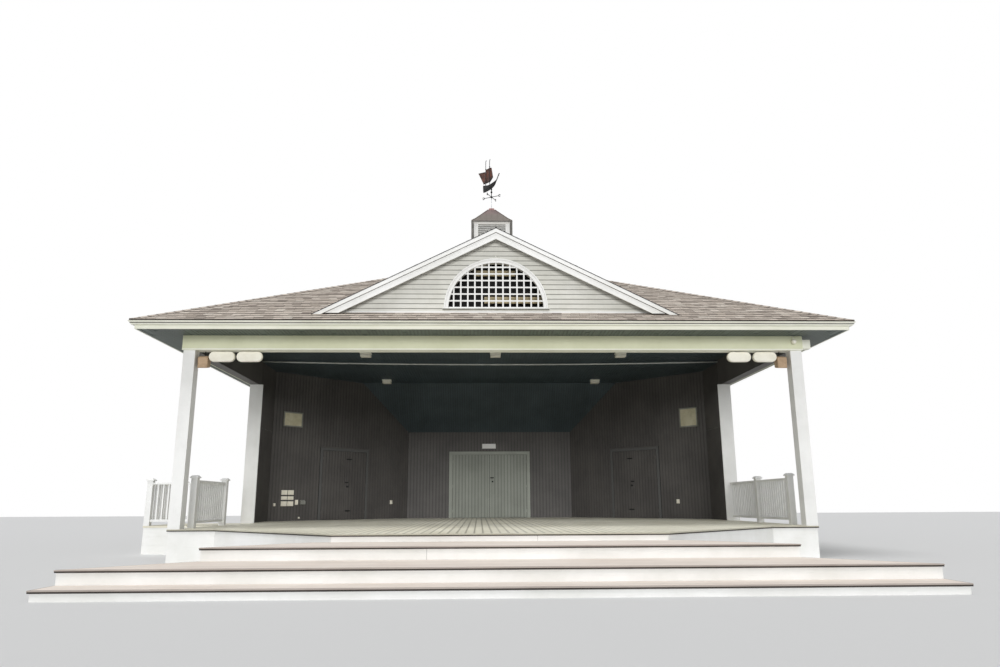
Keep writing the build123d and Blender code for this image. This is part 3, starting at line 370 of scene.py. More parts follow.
def course_tree():
    """Rows of thin boxes on a flat surface, cut off at its edges and round a hole."""
    tree, given = new_tree("laid_courses", (
        ("Rows", "Int"), ("Row pitch", "Float"), ("Row gap", "Float"),
        ("Pieces", "Int"), ("Piece length", "Float"), ("Piece gap", "Float"), ("Start", "Float"),
        ("Stagger", "Float"), ("Jitter", "Float"),
        ("Butt", "Float"), ("Head", "Float"), ("Thickness jitter", "Float"), ("Edge drop", "Float"),
        ("Edge width", "Float"), ("Low", "Float"), ("Low slope", "Float"), ("High", "Float"),
        ("High slope", "Float"), ("Hole", "Float"), ("Lines", "Int"), ("Seed", "Int"),
        ("Finish", "Material"),
    ))

    def edge_line(row_place, edge):
        """How far along a row this edge of the surface lies."""
        return add(tree, MATH, {0: row_place, 1: given[edge + " slope"], 2: given[edge]},
                   operation="MULTIPLY_ADD")

    index = add(tree, "GeometryNodeInputIndex")
    total = add(tree, MATH, {0: given["Rows"], 1: given["Pieces"]}, operation="MULTIPLY")
    row = add(tree, "FunctionNodeIntegerMath", {0: index, 1: given["Pieces"]}, operation="DIVIDE")
    column = add(tree, "FunctionNodeIntegerMath", {0: index, 1: given["Pieces"]}, operation="MODULO")
    lap = add(tree, MATH, {0: row, 1: given["Stagger"]}, operation="MULTIPLY")
    odd = add(tree, MATH, {0: lap}, operation="FRACT")
    chance = add(tree, "FunctionNodeRandomValue", {"ID": row, "Seed": given["Seed"]},
                 data_type="FLOAT").outputs[1]
    shift = add(tree, MATH, {0: chance, 1: given["Jitter"], 2: odd}, operation="MULTIPLY_ADD")
    moved = add(tree, MATH, {0: column, 1: shift}, operation="ADD")
    along = add(tree, MATH, {0: moved, 1: given["Piece length"], 2: given["Start"]},
                operation="MULTIPLY_ADD")
    across = add(tree, MATH, {0: row, 1: given["Row pitch"]}, operation="MULTIPLY")
    spot = add(tree, "ShaderNodeCombineXYZ", {"X": along, "Y": across})
    points = add(tree, "GeometryNodePoints", {"Count": total, "Position": spot})

    # Drop the pieces that lie wholly outside the two edge lines
    far = add(tree, MATH, {0: across, 1: given["Row pitch"]}, operation="ADD")
    low_a, low_b = edge_line(across, "Low"), edge_line(far, "Low")
    high_a, high_b = edge_line(across, "High"), edge_line(far, "High")
    end = add(tree, MATH, {0: along, 1: given["Piece length"]}, operation="ADD")
    lowest = add(tree, MATH, {0: low_a, 1: low_b}, operation="MINIMUM")
    highest = add(tree, MATH, {0: high_a, 1: high_b}, operation="MAXIMUM")
    before = add(tree, MATH, {0: end, 1: lowest}, operation="LESS_THAN")
    after = add(tree, MATH, {0: along, 1: highest}, operation="GREATER_THAN")
    outside = add(tree, MATH, {0: before, 1: after}, operation="MAXIMUM")
    kept = add(tree, "GeometryNodeDeleteGeometry", {"Geometry": points, "Selection": outside},
               domain="POINT")

    # One piece: a box from 0 to 1, thinner at its back edge, with its long edges dropped
    box = add(tree, "GeometryNodeMeshCube", {"Size": (1, 1, 1), "Vertices Y": given["Lines"]})
    corner = add(tree, "GeometryNodeInputPosition")
    parts = add(tree, "ShaderNodeSeparateXYZ", {0: corner}).outputs
    side = add(tree, MATH, {0: parts["Y"]}, operation="SIGN")
    reach = add(tree, MATH, {0: parts["Y"]}, operation="ABSOLUTE")
    outer = add(tree, MATH, {0: reach, 1: 0.4}, operation="GREATER_THAN")
    inset = add(tree, MATH, {0: 0.5, 1: given["Edge width"]}, operation="SUBTRACT")
    inner_y = add(tree, MATH, {0: side, 1: inset}, operation="MULTIPLY")
    line_y = add(tree, "ShaderNodeMix", {0: outer, 2: inner_y, 3: parts["Y"]})
    y = add(tree, MATH, {0: line_y, 1: 0.5}, operation="ADD")
    thins = add(tree, MATH, {0: given["Head"], 1: given["Butt"]}, operation="SUBTRACT")
    taper = add(tree, MATH, {0: y, 1: thins, 2: given["Butt"]}, operation="MULTIPLY_ADD")
    drop = add(tree, MATH, {0: outer, 1: given["Edge drop"]}, operation="MULTIPLY")
    height = add(tree, MATH, {0: taper, 1: drop}, operation="SUBTRACT")
    top = add(tree, MATH, {0: parts["Z"], 1: 0.0}, operation="GREATER_THAN")
    z = add(tree, MATH, {0: top, 1: height}, operation="MULTIPLY")
    x = add(tree, MATH, {0: parts["X"], 1: 0.5}, operation="ADD")
    place = add(tree, "ShaderNodeCombineXYZ", {"X": x, "Y": y, "Z": z})
    marked = add(tree, "GeometryNodeStoreNamedAttribute", {
        "Geometry": box, "Name": "up_board", "Value": y}, data_type="FLOAT", domain="POINT")
    shaped = add(tree, "GeometryNodeSetPosition", {"Geometry": marked, "Position": place})

    thinnest = add(tree, MATH, {0: 1.0, 1: given["Thickness jitter"]}, operation="SUBTRACT")
    thick_seed = add(tree, MATH, {0: given["Seed"], 1: 1.0}, operation="ADD")
    shade_seed = add(tree, MATH, {0: given["Seed"], 1: 2.0}, operation="ADD")
    thick = add(tree, "FunctionNodeRandomValue", {2: thinnest, 3: 1.0, "Seed": thick_seed},
                data_type="FLOAT")
    length = add(tree, MATH, {0: given["Piece length"], 1: given["Piece gap"]}, operation="SUBTRACT")
    width = add(tree, MATH, {0: given["Row pitch"], 1: given["Row gap"]}, operation="SUBTRACT")
    size = add(tree, "ShaderNodeCombineXYZ", {"X": length, "Y": width, "Z": thick.outputs[1]})
    laid = add(tree, "GeometryNodeInstanceOnPoints", {"Points": kept, "Instance": shaped, "Scale": size})
    shade = add(tree, "FunctionNodeRandomValue", {"Seed": shade_seed}, data_type="FLOAT")
    shaded = add(tree, "GeometryNodeStoreNamedAttribute", {
        "Geometry": laid, "Name": "shade", "Value": shade.outputs[1]}, data_type="FLOAT", domain="INSTANCE")
    solid = add(tree, "GeometryNodeRealizeInstances", {0: shaded})

    # Push every corner that lies over an edge line, or inside the hole, back onto it
    at = add(tree, "ShaderNodeSeparateXYZ", {0: add(tree, "GeometryNodeInputPosition")}).outputs
    low, high = edge_line(at["Y"], "Low"), edge_line(at["Y"], "High")
    hole_square = add(tree, MATH, {0: given["Hole"], 1: 2.0}, operation="POWER")
    y_square = add(tree, MATH, {0: at["Y"], 1: at["Y"]}, operation="MULTIPLY")
    inside = add(tree, MATH, {0: hole_square, 1: y_square}, operation="SUBTRACT")
    arc = add(tree, MATH, {0: add(tree, MATH, {0: inside, 1: 0.0}, operation="MAXIMUM")}, operation="SQRT")
    no_hole = add(tree, MATH, {0: given["Hole"], 1: 0.001}, operation="LESS_THAN")
    reach_in = add(tree, MATH, {0: no_hole, 1: -1000.0, 2: arc}, operation="MULTIPLY_ADD")
    from_low = add(tree, MATH, {0: low, 1: reach_in}, operation="MAXIMUM")
    above = add(tree, MATH, {0: at["X"], 1: from_low}, operation="MAXIMUM")
    held = add(tree, MATH, {0: above, 1: high}, operation="MINIMUM")
    held_place = add(tree, "ShaderNodeCombineXYZ", {"X": held, "Y": at["Y"], "Z": at["Z"]})
    cut = add(tree, "GeometryNodeSetPosition", {"Geometry": solid, "Position": held_place})
    clean = add(tree, "GeometryNodeMergeByDistance", {"Geometry": cut, "Distance": 0.02 * MM})
    done = add(tree, "GeometryNodeSetMaterial", {"Geometry": clean, "Material": given["Finish"]})
    add(tree, "NodeGroupOutput", {"Geometry": done.outputs[0]})
    return tree


COURSES = course_tree()
COURSE_DEFAULTS = {
    "Row gap": 0.0, "Piece gap": 0.0, "Start": 0.0, "Stagger": 0.0, "Jitter": 0.0, "Thickness jitter": 0.0,
    "Edge drop": 0.0, "Edge width": 0.1, "Low": -100.0, "Low slope": 0.0, "High": 100.0, "High slope": 0.0,
    "Hole": 0.0, "Lines": 2, "Seed": 1,
}


def in_scene(name, data):
    """An object for a mesh or a light, linked to the scene."""
    made = bpy.data.objects.new(name, data)
    bpy.context.scene.collection.objects.link(made)
    return made


def grown(tree, name, values):
    """Run a geometry tree with these values and return the result as a plain mesh object."""
    holder = in_scene(name + "_holder", bpy.data.meshes.new(name + "_holder"))
    modifier = holder.modifiers.new("grow", "NODES")
    modifier.node_group = tree
    sockets = {s.name: s.identifier for s in tree.interface.items_tree if s.in_out == "INPUT"}
    for key, value in values.items():
        modifier[sockets[key]] = value
    graph = bpy.context.evaluated_depsgraph_get()
    mesh = bpy.data.meshes.new_from_object(holder.evaluated_get(graph))
    bpy.data.objects.remove(holder)
    mesh.name = name
    mesh.materials.clear()
    mesh.materials.append(values["Finish"])
    return in_scene(name, mesh)


def placed(piece, origin, along, across):
    """Move a flat-laid piece's mesh so that X runs along, Y across, Z outwards."""
    x = Vector(along).normalized()
    y = Vector(across).normalized()
    z = x.cross(y)
    matrix = Matrix((x, y, z)).transposed().to_4x4()
    matrix.translation = Vector(origin)
    piece.data.transform(matrix)
    return piece


def courses(name, origin, along, across, finish, **values):
    """Lay one field of boards or shingles; names of inputs use _ for a space."""
    inputs = dict(COURSE_DEFAULTS)
    inputs.update({key.replace("_", " "): value for key, value in values.items()})
    inputs["Finish"] = finish
    return placed(grown(COURSES, name, inputs), origin, along, across)


def joined(name, pieces, body="bandstand"):
    """Make one piece of several and let it ride on a body."""
    mesh = bpy.data.meshes.new(name)
    work = bmesh.new()
    finishes = []
    for piece in pieces:
        before = len(work.faces)
        work.from_mesh(piece.data)
        work.faces.ensure_lookup_table()
        finish = piece.data.materials[0]
        if finish not in finishes:
            finishes.append(finish)
        for face in work.faces[before:]:
            face.material_index = finishes.index(finish)
        bpy.data.meshes.remove(piece.data)
    empty = [f for f in work.faces if f.calc_area() < 1e-9]
    bmesh.ops.delete(work, geom=empty, context="FACES")
    work.to_mesh(mesh)
    work.free()
    for finish in finishes:
        mesh.materials.append(finish)
    piece = in_scene(name, mesh)
    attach(piece, body)
    print(name, len(mesh.polygons), "faces")
    return piece


# %% [markdown]
# ## Four ways to make a solid
# What does not repeat is made from corners and faces. A moulding runs one
# profile round corners and mitres them, as a joiner does. A plate is an
# outline with a thickness, a turned piece is a profile spun round an axis, and
# a rod is a circle carried along a line.


# %% Helpers that make solids
def solid(name, points, faces, finish, bevel=0.0, smooth=False):
    """A closed mesh with its faces turned outwards and, where asked, its edges softened."""
    work = bmesh.new()
    corners = [work.verts.new(point) for point in points]
    for face in faces:
        work.faces.new([corners[i] for i in face])
    bmesh.ops.remove_doubles(work, verts=work.verts, dist=0.01 * MM)
    bmesh.ops.recalc_face_normals(work, faces=work.faces)
    if bevel:
        sharp = [edge for edge in work.edges if edge.calc_face_angle(0) > 0.5]
        bmesh.ops.bevel(work, geom=sharp, offset=bevel, segments=2, profile=0.5, affect="EDGES")
    for face in work.faces:
        face.smooth = smooth
    mesh = bpy.data.meshes.new(name)
    work.to_mesh(mesh)
    work.free()
    mesh.materials.append(finish)
    return in_scene(name, mesh)


def lofted(name, rings, finish, closed=False, bevel=0.0, smooth=False):
    """A skin over rings of points, capped at both ends unless it closes on itself."""
    size = len(rings[0])
    count = len(rings)
    faces = []
    for i in range(count if closed else count - 1):
        here, there = i * size, (i + 1) % count * size
        for j in range(size):
            k = (j + 1) % size
            faces.append((here + j, here + k, there + k, there + j))
    if not closed:
        faces += [tuple(range(size)), tuple(range((count - 1) * size, count * size))]
    return solid(name, [point for ring in rings for point in ring], faces, finish, bevel, smooth)


def moulding(name, path, profile, finish, closed=False, bevel=0.0):
    """Run a profile of (outwards, height) along a level path; outwards is to its right."""
    places = [Vector(place) for place in path]
    count = len(places)
    steps = [(places[(i + 1) % count] - places[i]).normalized() for i in range(count)]
    rights = [Vector((step.y, -step.x)) for step in steps]
    rings = []
    for i, place in enumerate(places):
        before = rights[i - 1] if closed or i else rights[0]
        after = rights[i] if closed or i < count - 1 else rights[i - 1]
        mitre = (before + after) / (1 + before.dot(after))
        rings.append([(place.x + mitre.x * out, place.y + mitre.y * out, z) for out, z in profile])
    return lofted(name, rings, finish, closed, bevel)


def plate(name, outline, origin, u, v, depth, finish, bevel=0.0):
    """An outline in the directions u and v from origin, with a thickness along the vector depth."""
    origin, u, v, depth = (Vector(value) for value in (origin, u, v, depth))
    near = [origin + u * a + v * b for a, b in outline]
    return lofted(name, [near, [point + depth for point in near]], finish, bevel=bevel)


def board(name, low, high, finish, bevel=2 * MM):
    """A square-cut board or box between two corners."""
    outline = [(low[0], low[1]), (high[0], low[1]), (high[0], high[1]), (low[0], high[1])]
    return plate(name, outline, (0, 0, low[2]), (1, 0, 0), (0, 1, 0), (0, 0, high[2] - low[2]), finish,
                 bevel)


def in_mm(pairs, base=0.0):
    """A profile from pairs in millimetres, the second of each counted from base."""
    return [(out * MM, base + up * MM) for out, up in pairs]


def circle(centre, heading, radius, sides, distance=0.0):
    """Points round a centre, square to a heading and this far along it."""
    turn = Vector(heading).to_track_quat("Z", "Y").to_matrix()
    angles = [math.tau * k / sides for k in range(sides)]
    return [Vector(centre) + turn @ Vector((radius * math.cos(a), radius * math.sin(a),
                                            distance)) for a in angles]


def turned(name, profile, centre, axis, finish, sides=24):
    """Spin a profile of (radius, distance along the axis) round an axis through centre."""
    rings = [circle(centre, axis, radius, sides, distance) for radius, distance in profile]
    return lofted(name, rings, finish, smooth=True)


def rod(name, line, radius, finish, sides=8):
    """A round bar along a line of points."""
    line = [Vector(point) for point in line]
    rings = []
    for i, point in enumerate(line):
        heading = (line[min(i + 1, len(line) - 1)] - line[max(i - 1, 0)]).normalized()
        rings.append(circle(point, heading, radius, sides))
    return lofted(name, rings, finish, smooth=True)


NOSE_STRIP = 30 * MM


def edge_profile(top, depth):
    """A nosing strip just inside the edge it follows, rounded at its upper front corner."""
    return [(-NOSE_STRIP, top - depth), (-1 * MM, top - depth), (0, top - depth + 2 * MM),
            (0, top - 10 * MM), (-3 * MM, top - 3 * MM), (-10 * MM, top), (-NOSE_STRIP, top)]


def nosing_shadow_profile(top, high, back):
    """The painted shadow below a nosing: a dark strip set back from its edge."""
    return [(-NOSE_STRIP, top - high), (-back, top - high), (-back, top), (-NOSE_STRIP, top)]


# %% [markdown]
# ## Shingle courses
# The four slopes of the hipped roof get courses 178 mm deep. The shingles are
# uneven, so each has a thickness of its own, and each course has a random
# shift. A course starts at the eave, and the hip cuts it shorter by as much as
# it has climbed in plan.

# %% Main roof
low_front, high_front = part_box("roof_front")
EAVE_X = high_front.x
EAVE_Y0 = low_front.y
EAVE_Y1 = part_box("roof_back")[1].y
PITCH_SLOPE = 0.5
SLANT = math.sqrt(1 + PITCH_SLOPE ** 2)
HALF_DEPTH = (EAVE_Y1 - EAVE_Y0) / 2
RIDGE_Z = high_front.z
EAVE_TOP = RIDGE_Z - PITCH_SLOPE * HALF_DEPTH
RIDGE_HALF = EAVE_X - HALF_DEPTH
MIDDLE_Y = (EAVE_Y0 + EAVE_Y1) / 2
COURSE = 178 * MM
TAB = 190 * MM


def shingled(name, origin, along, uphill, half, slant, low, low_slope, high, high_slope, seed):
    """Courses of shingles on one slope, uphill from the middle of its eave."""
    return courses(
        name, origin, along, uphill, shingles,
        Rows=math.ceil(slant / COURSE), Row_pitch=slant / math.ceil(slant / COURSE),
        Pieces=math.ceil(2 * half / TAB) + 2, Piece_length=TAB, Piece_gap=3 * MM, Start=-half - TAB,
        Jitter=1.0, Butt=13 * MM, Head=3 * MM, Thickness_jitter=0.5,
        Low=low, Low_slope=low_slope, High=high, High_slope=high_slope, Seed=seed)


rise = HALF_DEPTH * PITCH_SLOPE
slant_long = HALF_DEPTH * SLANT
EDGE_IN = 6 * MM
roof_fields = []
for side, seed in ((-1, 11), (1, 12)):
    eave_y = EAVE_Y0 + EDGE_IN if side < 0 else EAVE_Y1 - EDGE_IN
    roof_fields.append(shingled(
        "slope_long", (0, eave_y, EAVE_TOP + EDGE_IN / 2), (-side, 0, 0), (0, -side * HALF_DEPTH, rise),
        EAVE_X, slant_long, -EAVE_X + EDGE_IN, 1 / SLANT, EAVE_X - EDGE_IN, -1 / SLANT, seed))
for side, seed in ((-1, 13), (1, 14)):
    roof_fields.append(shingled(
        "slope_end", (side * (EAVE_X - EDGE_IN), MIDDLE_Y, EAVE_TOP + EDGE_IN / 2), (0, side, 0),
        (-side * HALF_DEPTH, 0, rise), HALF_DEPTH, slant_long, -HALF_DEPTH + EDGE_IN, 1 / SLANT,
        HALF_DEPTH - EDGE_IN, -1 / SLANT, seed))
joined("roof_shingles", roof_fields)

# %% [markdown]
# ## Gable shingles and clapboards
# The gable stands on the front slope, so its two small slopes are triangles:
# square at the rake and cut by the valley. Below them the gable wall has
# bevelled clapboards with 104 mm to the weather. They stop at the half-round
# vent, so this field also has a hole: each board's inner end follows the arc.
# Only the right half is laid, and the left half is its mirror image.

# %% Gable covering
GABLE_FOOT = 3.68
RAKE_FACE = -0.397
GABLE_FACE = -0.217
VENT_BASE = 5.01
VENT_OUTER = 1.08
GABLE_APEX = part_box("gable_roof")[1].z
UNDER_GABLE = GABLE_APEX - 0.08
CLAP = 104 * MM
BOARD_LONG = 3.66


def mirrored(piece):
    """A copy on the other side of X = 0, with its faces turned the right way out."""
    mesh = piece.data.copy()
    mesh.transform(Matrix.Scale(-1, 4, (1, 0, 0)))
    mesh.flip_normals()
    return in_scene(piece.name + "_mirrored", mesh)


def both_sides(pieces):
    """These pieces and their mirror images."""
    return pieces + [mirrored(piece) for piece in pieces]


gable_slant = GABLE_FOOT * SLANT
# Where the valley is, behind the rake, at the foot of the gable slope
GABLE_RISE = GABLE_APEX - EAVE_TOP
VALLEY_START = GABLE_RISE / PITCH_SLOPE - GABLE_FOOT + EAVE_Y0 - RAKE_FACE + 10 * MM
VALLEY_TOP_Y = GABLE_RISE / PITCH_SLOPE + EAVE_Y0
right_gable = shingled(
    "gable_right", (GABLE_FOOT, RAKE_FACE - 8 * MM, GABLE_APEX - PITCH_SLOPE * GABLE_FOOT), (0, 1, 0),
    (-1, 0, PITCH_SLOPE), GABLE_FOOT, gable_slant, 0.0, 0.0, VALLEY_START, 1 / SLANT, 21)
joined("gable_shingles", both_sides([right_gable]))


def clapboards(name, origin, along, height, start, stop, **values):
    """Bevelled siding that rises from origin; start and stop are its ends along the wall."""
    rows = round(height / CLAP)
    return courses(
        name, origin, along, (0, 0, 1), siding, Rows=rows, Row_pitch=height / rows,
        Pieces=math.ceil((stop - start) / BOARD_LONG) + 2, Piece_length=BOARD_LONG, Piece_gap=2 * MM,
        Start=start - BOARD_LONG,
        Stagger=0.37, Butt=15 * MM, Head=4 * MM, **values)


rows_up = math.floor((UNDER_GABLE - VENT_BASE) / CLAP)
above = clapboards(
    "gable_boards", (0, GABLE_FACE, VENT_BASE), (1, 0, 0), rows_up * CLAP, 0.0, 3.3, Low=0.0,
    High=2 * (UNDER_GABLE - VENT_BASE), High_slope=-2.0, Hole=VENT_OUTER - 0.03)
below = clapboards(
    "gable_foot_board", (0, GABLE_FACE, VENT_BASE - CLAP), (1, 0, 0), CLAP, 0.0, 3.45, Low=0.0, High=3.45)
joined("gable_clapboards", both_sides([above]) + both_sides([below]))

# %% [markdown]
# ## Clapboards on the outer walls
# The sides and the back are not seen from the front. They carry on the same
# clapboards between corner boards.

# %% Outer walls
FLOOR = 0.62
SOFFIT = 4.457
SIDE = 6.35
REAR = 10.03
WALL_FRONT = 4.6075
DOOR_HALF = 1.235
CORNER_BOARD = 0.11
wall_high = SOFFIT - FLOOR
right_side = clapboards(
    "right_side", (SIDE, 0, FLOOR), (0, 1, 0), wall_high, WALL_FRONT, REAR, Low=WALL_FRONT,
    High=REAR - CORNER_BOARD)
rear_right = clapboards(
    "rear_right", (0, REAR, FLOOR), (-1, 0, 0), wall_high, -SIDE, -DOOR_HALF, Low=-SIDE + CORNER_BOARD,
    High=-DOOR_HALF - CORNER_BOARD)
HEAD_ROOM = 2.04
over_door = clapboards(
    "rear_over", (0, REAR, FLOOR + HEAD_ROOM + CORNER_BOARD), (-1, 0, 0),
    wall_high - HEAD_ROOM - CORNER_BOARD,
    -DOOR_HALF, DOOR_HALF, Low=-DOOR_HALF - CORNER_BOARD, High=DOOR_HALF + CORNER_BOARD)
joined("wall_clapboards", both_sides([right_side]) + both_sides([rear_right]) + [over_door])

# %% [markdown]
# ## Corner boards and casing
# Clapboards end against flat upright boards at the corners and round the rear
# doorway. They stand a little proud, so the ends of the courses are covered.
# A flat board beside each rear post is of the same kind.

# %% Corner boards and the outer casing of the rear doorway
TRIM_PROUD = 20 * MM
corner_outline = [
    (SIDE - CORNER_BOARD, REAR), (SIDE, REAR), (SIDE, REAR - CORNER_BOARD),
    (SIDE + TRIM_PROUD, REAR - CORNER_BOARD),
    (SIDE + TRIM_PROUD, REAR + TRIM_PROUD), (SIDE - CORNER_BOARD, REAR + TRIM_PROUD)]
corner = plate(
    "corner_board", corner_outline, (0, 0, FLOOR), (1, 0, 0), (0, 1, 0), (0, 0, wall_high - 8 * MM),
    white_upright, 2 * MM)
inner_side, outer_side = DOOR_HALF, DOOR_HALF + CORNER_BOARD
outer_casing = plate(
    "outer_casing", [
        (-outer_side, 0), (-inner_side, 0), (-inner_side, HEAD_ROOM), (inner_side, HEAD_ROOM),
        (inner_side, 0),
        (outer_side, 0), (outer_side, HEAD_ROOM + CORNER_BOARD), (-outer_side, HEAD_ROOM + CORNER_BOARD)],
    (0, REAR, FLOOR), (1, 0, 0), (0, 0, 1), (0, TRIM_PROUD, 0), white_upright, 2 * MM)
# A flat board widens the front of each rear post towards the stage, as one even white face
POST_WIDE = 0.235
FLANGE = 97 * MM
rear_post_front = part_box("rear_posts")[0].y
flange = board(
    "post_flange", (SIDE - POST_WIDE - FLANGE, rear_post_front, FLOOR),
    (SIDE - POST_WIDE, rear_post_front + 40 * MM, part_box("rear_posts")[1].z), white_upright)
joined("outer_trim", both_sides([corner]) + [outer_casing] + both_sides([flange]))

# %% [markdown]
# ## Grooved boards inside
# The stage is lined with upright grooved boards, painted charcoal. Their
# grooves are narrow shadows, so the boards are real, 6 mm thick with a gap
# between, and the wall behind shows in the gap. The paint is also darkened
# along each board's edges as painted shade beside the gap. Each wall is
# described by a point at floor level, the direction to the right and the
# direction out of it.


# %% Upright boards on a wall
def upright_boards(name, wall, s0, s1, bottom, top0, top1, finish, pitch=101.6 * MM, thick=6 * MM,
                   gap=9 * MM, piece=2.48, depth=0.0):
    """Boards on a wall from s0 to s1 along it; top0 and top1 are their heights at those ends."""
    origin, to_right, out = (Vector(v) for v in wall)
    rows = max(1, round((s1 - s0) / pitch))
    start = origin + to_right.normalized() * s1 + out.normalized() * depth
    return courses(
        name, start, (0, 0, 1), -to_right, finish, Rows=rows, Row_pitch=(s1 - s0) / rows, Row_gap=gap,
        Pieces=4, Piece_length=piece, Piece_gap=3 * MM, Butt=thick, Head=thick, Edge_drop=thick / 2,
        Edge_width=0.06, Lines=4, Low=bottom, High=top1, High_slope=(top0 - top1) / (s1 - s0))


CEILING_HIGH = 4.23
FOLD_FALL = 0.7536
half_diagonal = math.sqrt(0.5)
SPLAY_X, SPLAY_Y = 4.4675, 8.1125
right_splay = ((SPLAY_X, SPLAY_Y, FLOOR), (half_diagonal, -half_diagonal, 0),
               (-half_diagonal, -half_diagonal, 0))
SPLAY_HALF = 2.4995
SPLAY_END_Y = 6.345
SIDE_INNER = 6.235
BACK_WALL = 9.88
BACK_HALF = 2.7
FOLD_S = -0.583
CASING_OUT = 0.88
CASING_TOP = HEAD_ROOM + 0.08
corner_top = CEILING_HIGH - (SPLAY_HALF + FOLD_S) * FOLD_FALL
casing_end_top = CEILING_HIGH - (CASING_OUT + FOLD_S) * FOLD_FALL
lining = [
    upright_boards("splay_a", right_splay, CASING_OUT, SPLAY_HALF, 0, CEILING_HIGH, CEILING_HIGH, charcoal),
    upright_boards("splay_b", right_splay, FOLD_S, CASING_OUT, CASING_TOP, CEILING_HIGH, CEILING_HIGH,
                   charcoal),
    upright_boards("splay_c", right_splay, -CASING_OUT, FOLD_S, CASING_TOP, casing_end_top,
                   CEILING_HIGH, charcoal),
    upright_boards("splay_d", right_splay, -SPLAY_HALF, -CASING_OUT, 0, corner_top, casing_end_top,
                   charcoal),
]
right_wall = ((SIDE_INNER, 0, FLOOR), (0, -1, 0), (-1, 0, 0))
lining.append(upright_boards("side_inner", right_wall, -SPLAY_END_Y, -WALL_FRONT, 0, CEILING_HIGH,
                             CEILING_HIGH, charcoal))
BACK_TOP = 2.786
CASED = 0.1
back_wall = ((0, BACK_WALL, FLOOR), (1, 0, 0), (0, -1, 0))
lining.append(upright_boards("back_side", back_wall, DOOR_HALF + CASED, BACK_HALF, 0, BACK_TOP,
                             BACK_TOP, charcoal))
lining = both_sides(lining)
lining.append(upright_boards(
    "back_over", back_wall, -DOOR_HALF - CASED, DOOR_HALF + CASED, HEAD_ROOM + CASED, BACK_TOP,
    BACK_TOP, charcoal))
joined("wall_lining", lining)

# %% [markdown]
# ## Ceilings and soffit
# Narrow beaded boards run from front to back under the ceiling, down its
# sloping end and under the eaves. The ceiling is dark teal, the soffit lighter.

# %% Beaded boards overhead
BEAD = 76 * MM
CEILING_Z = 4.85
FOLD_Y = 8.525
FOLD_X = 4.055
SLOPE_FOOT_Z = 3.406
BEAM_BACK = 0.1175


def overhead(name, x0, x1, y_low, y_high0, y_high1, z, finish, along=(0, 1, 0), origin_y=0.0):
    """Boards under a ceiling between two distances from the centre line."""
    rows = round((x1 - x0) / BEAD)
    return courses(
        name, (x0, origin_y, z), along, (1, 0, 0), finish, Rows=rows, Row_pitch=(x1 - x0) / rows,
        Row_gap=7 * MM,
        Pieces=5, Piece_length=BOARD_LONG, Piece_gap=2 * MM, Start=-BOARD_LONG, Stagger=0.37,
        Butt=8 * MM, Head=8 * MM, Edge_drop=4 * MM, Edge_width=0.08, Lines=4, Low=y_low, High=y_high0,
        High_slope=(y_high1 - y_high0) / (x1 - x0))


SLOPE_RUN = BACK_WALL - FOLD_Y
SLOPE_FALL = CEILING_Z - SLOPE_FOOT_Z
slope_long = math.hypot(SLOPE_RUN, SLOPE_FALL)
down = (0, SLOPE_RUN, -SLOPE_FALL)
boards = [
    overhead("ceiling_middle", 0, FOLD_X, BEAM_BACK, FOLD_Y, FOLD_Y, CEILING_Z, dark_teal),
    overhead("ceiling_outer", FOLD_X, SIDE_INNER, BEAM_BACK, FOLD_Y, SPLAY_END_Y, CEILING_Z, dark_teal),
    overhead("slope_middle", 0, BACK_HALF, 0, slope_long, slope_long, CEILING_Z, dark_teal, down, FOLD_Y),
    overhead("slope_outer", BACK_HALF, FOLD_X, 0, slope_long, 0, CEILING_Z, dark_teal, down, FOLD_Y),
]
joined("ceiling_boards", both_sides(boards))

low_fascia, high_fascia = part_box("fascia_boards")
FASCIA_THICK = 0.025
FASCIA_BACK_X = high_fascia.x - FASCIA_THICK
FASCIA_BACK_Y0 = low_fascia.y + FASCIA_THICK
FASCIA_BACK_Y1 = high_fascia.y - FASCIA_THICK
eaves = [
    overhead("soffit_front", 0, SIDE, FASCIA_BACK_Y0, -BEAM_BACK, -BEAM_BACK, SOFFIT, soffit_teal),
    overhead("soffit_back", 0, SIDE, REAR, FASCIA_BACK_Y1, FASCIA_BACK_Y1, SOFFIT, soffit_teal),
    overhead("soffit_side", SIDE, FASCIA_BACK_X, FASCIA_BACK_Y0, FASCIA_BACK_Y1, FASCIA_BACK_Y1, SOFFIT,
             soffit_teal),
]
joined("soffit_boards_beaded", both_sides(eaves))

# %% [markdown]
# ## Cased beams
# Flat boards box in the beams and stand a little proud of the posts. The
# front one is a plain cream board from end to end with a bead along its lower
# edge, and the casing turns the corner onto the two side beams.

# %% Casings of the beams
CASING = 25 * MM
BEAM_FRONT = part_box("front_beam")[0].y - CASING
BEAM_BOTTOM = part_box("front_beam")[0].z
casing_top = SOFFIT - 8 * MM
front_casing = board(
    "front_casing", (-SIDE - CASING, BEAM_FRONT, BEAM_BOTTOM), (SIDE + CASING, -BEAM_BACK, casing_top),
    beam_cream)
side_casing = board(
    "side_casing", (SIDE, -BEAM_BACK, BEAM_BOTTOM), (SIDE + CASING, WALL_FRONT, casing_top), beam_cream)
bottom_bead = board(
    "bottom_bead", (-SIDE - CASING, BEAM_FRONT - 4 * MM, BEAM_BOTTOM),
    (SIDE + CASING, BEAM_FRONT, BEAM_BOTTOM + 0.03), cream, 1 * MM)
joined("beam_casings", [front_casing, bottom_bead] + both_sides([side_casing]))
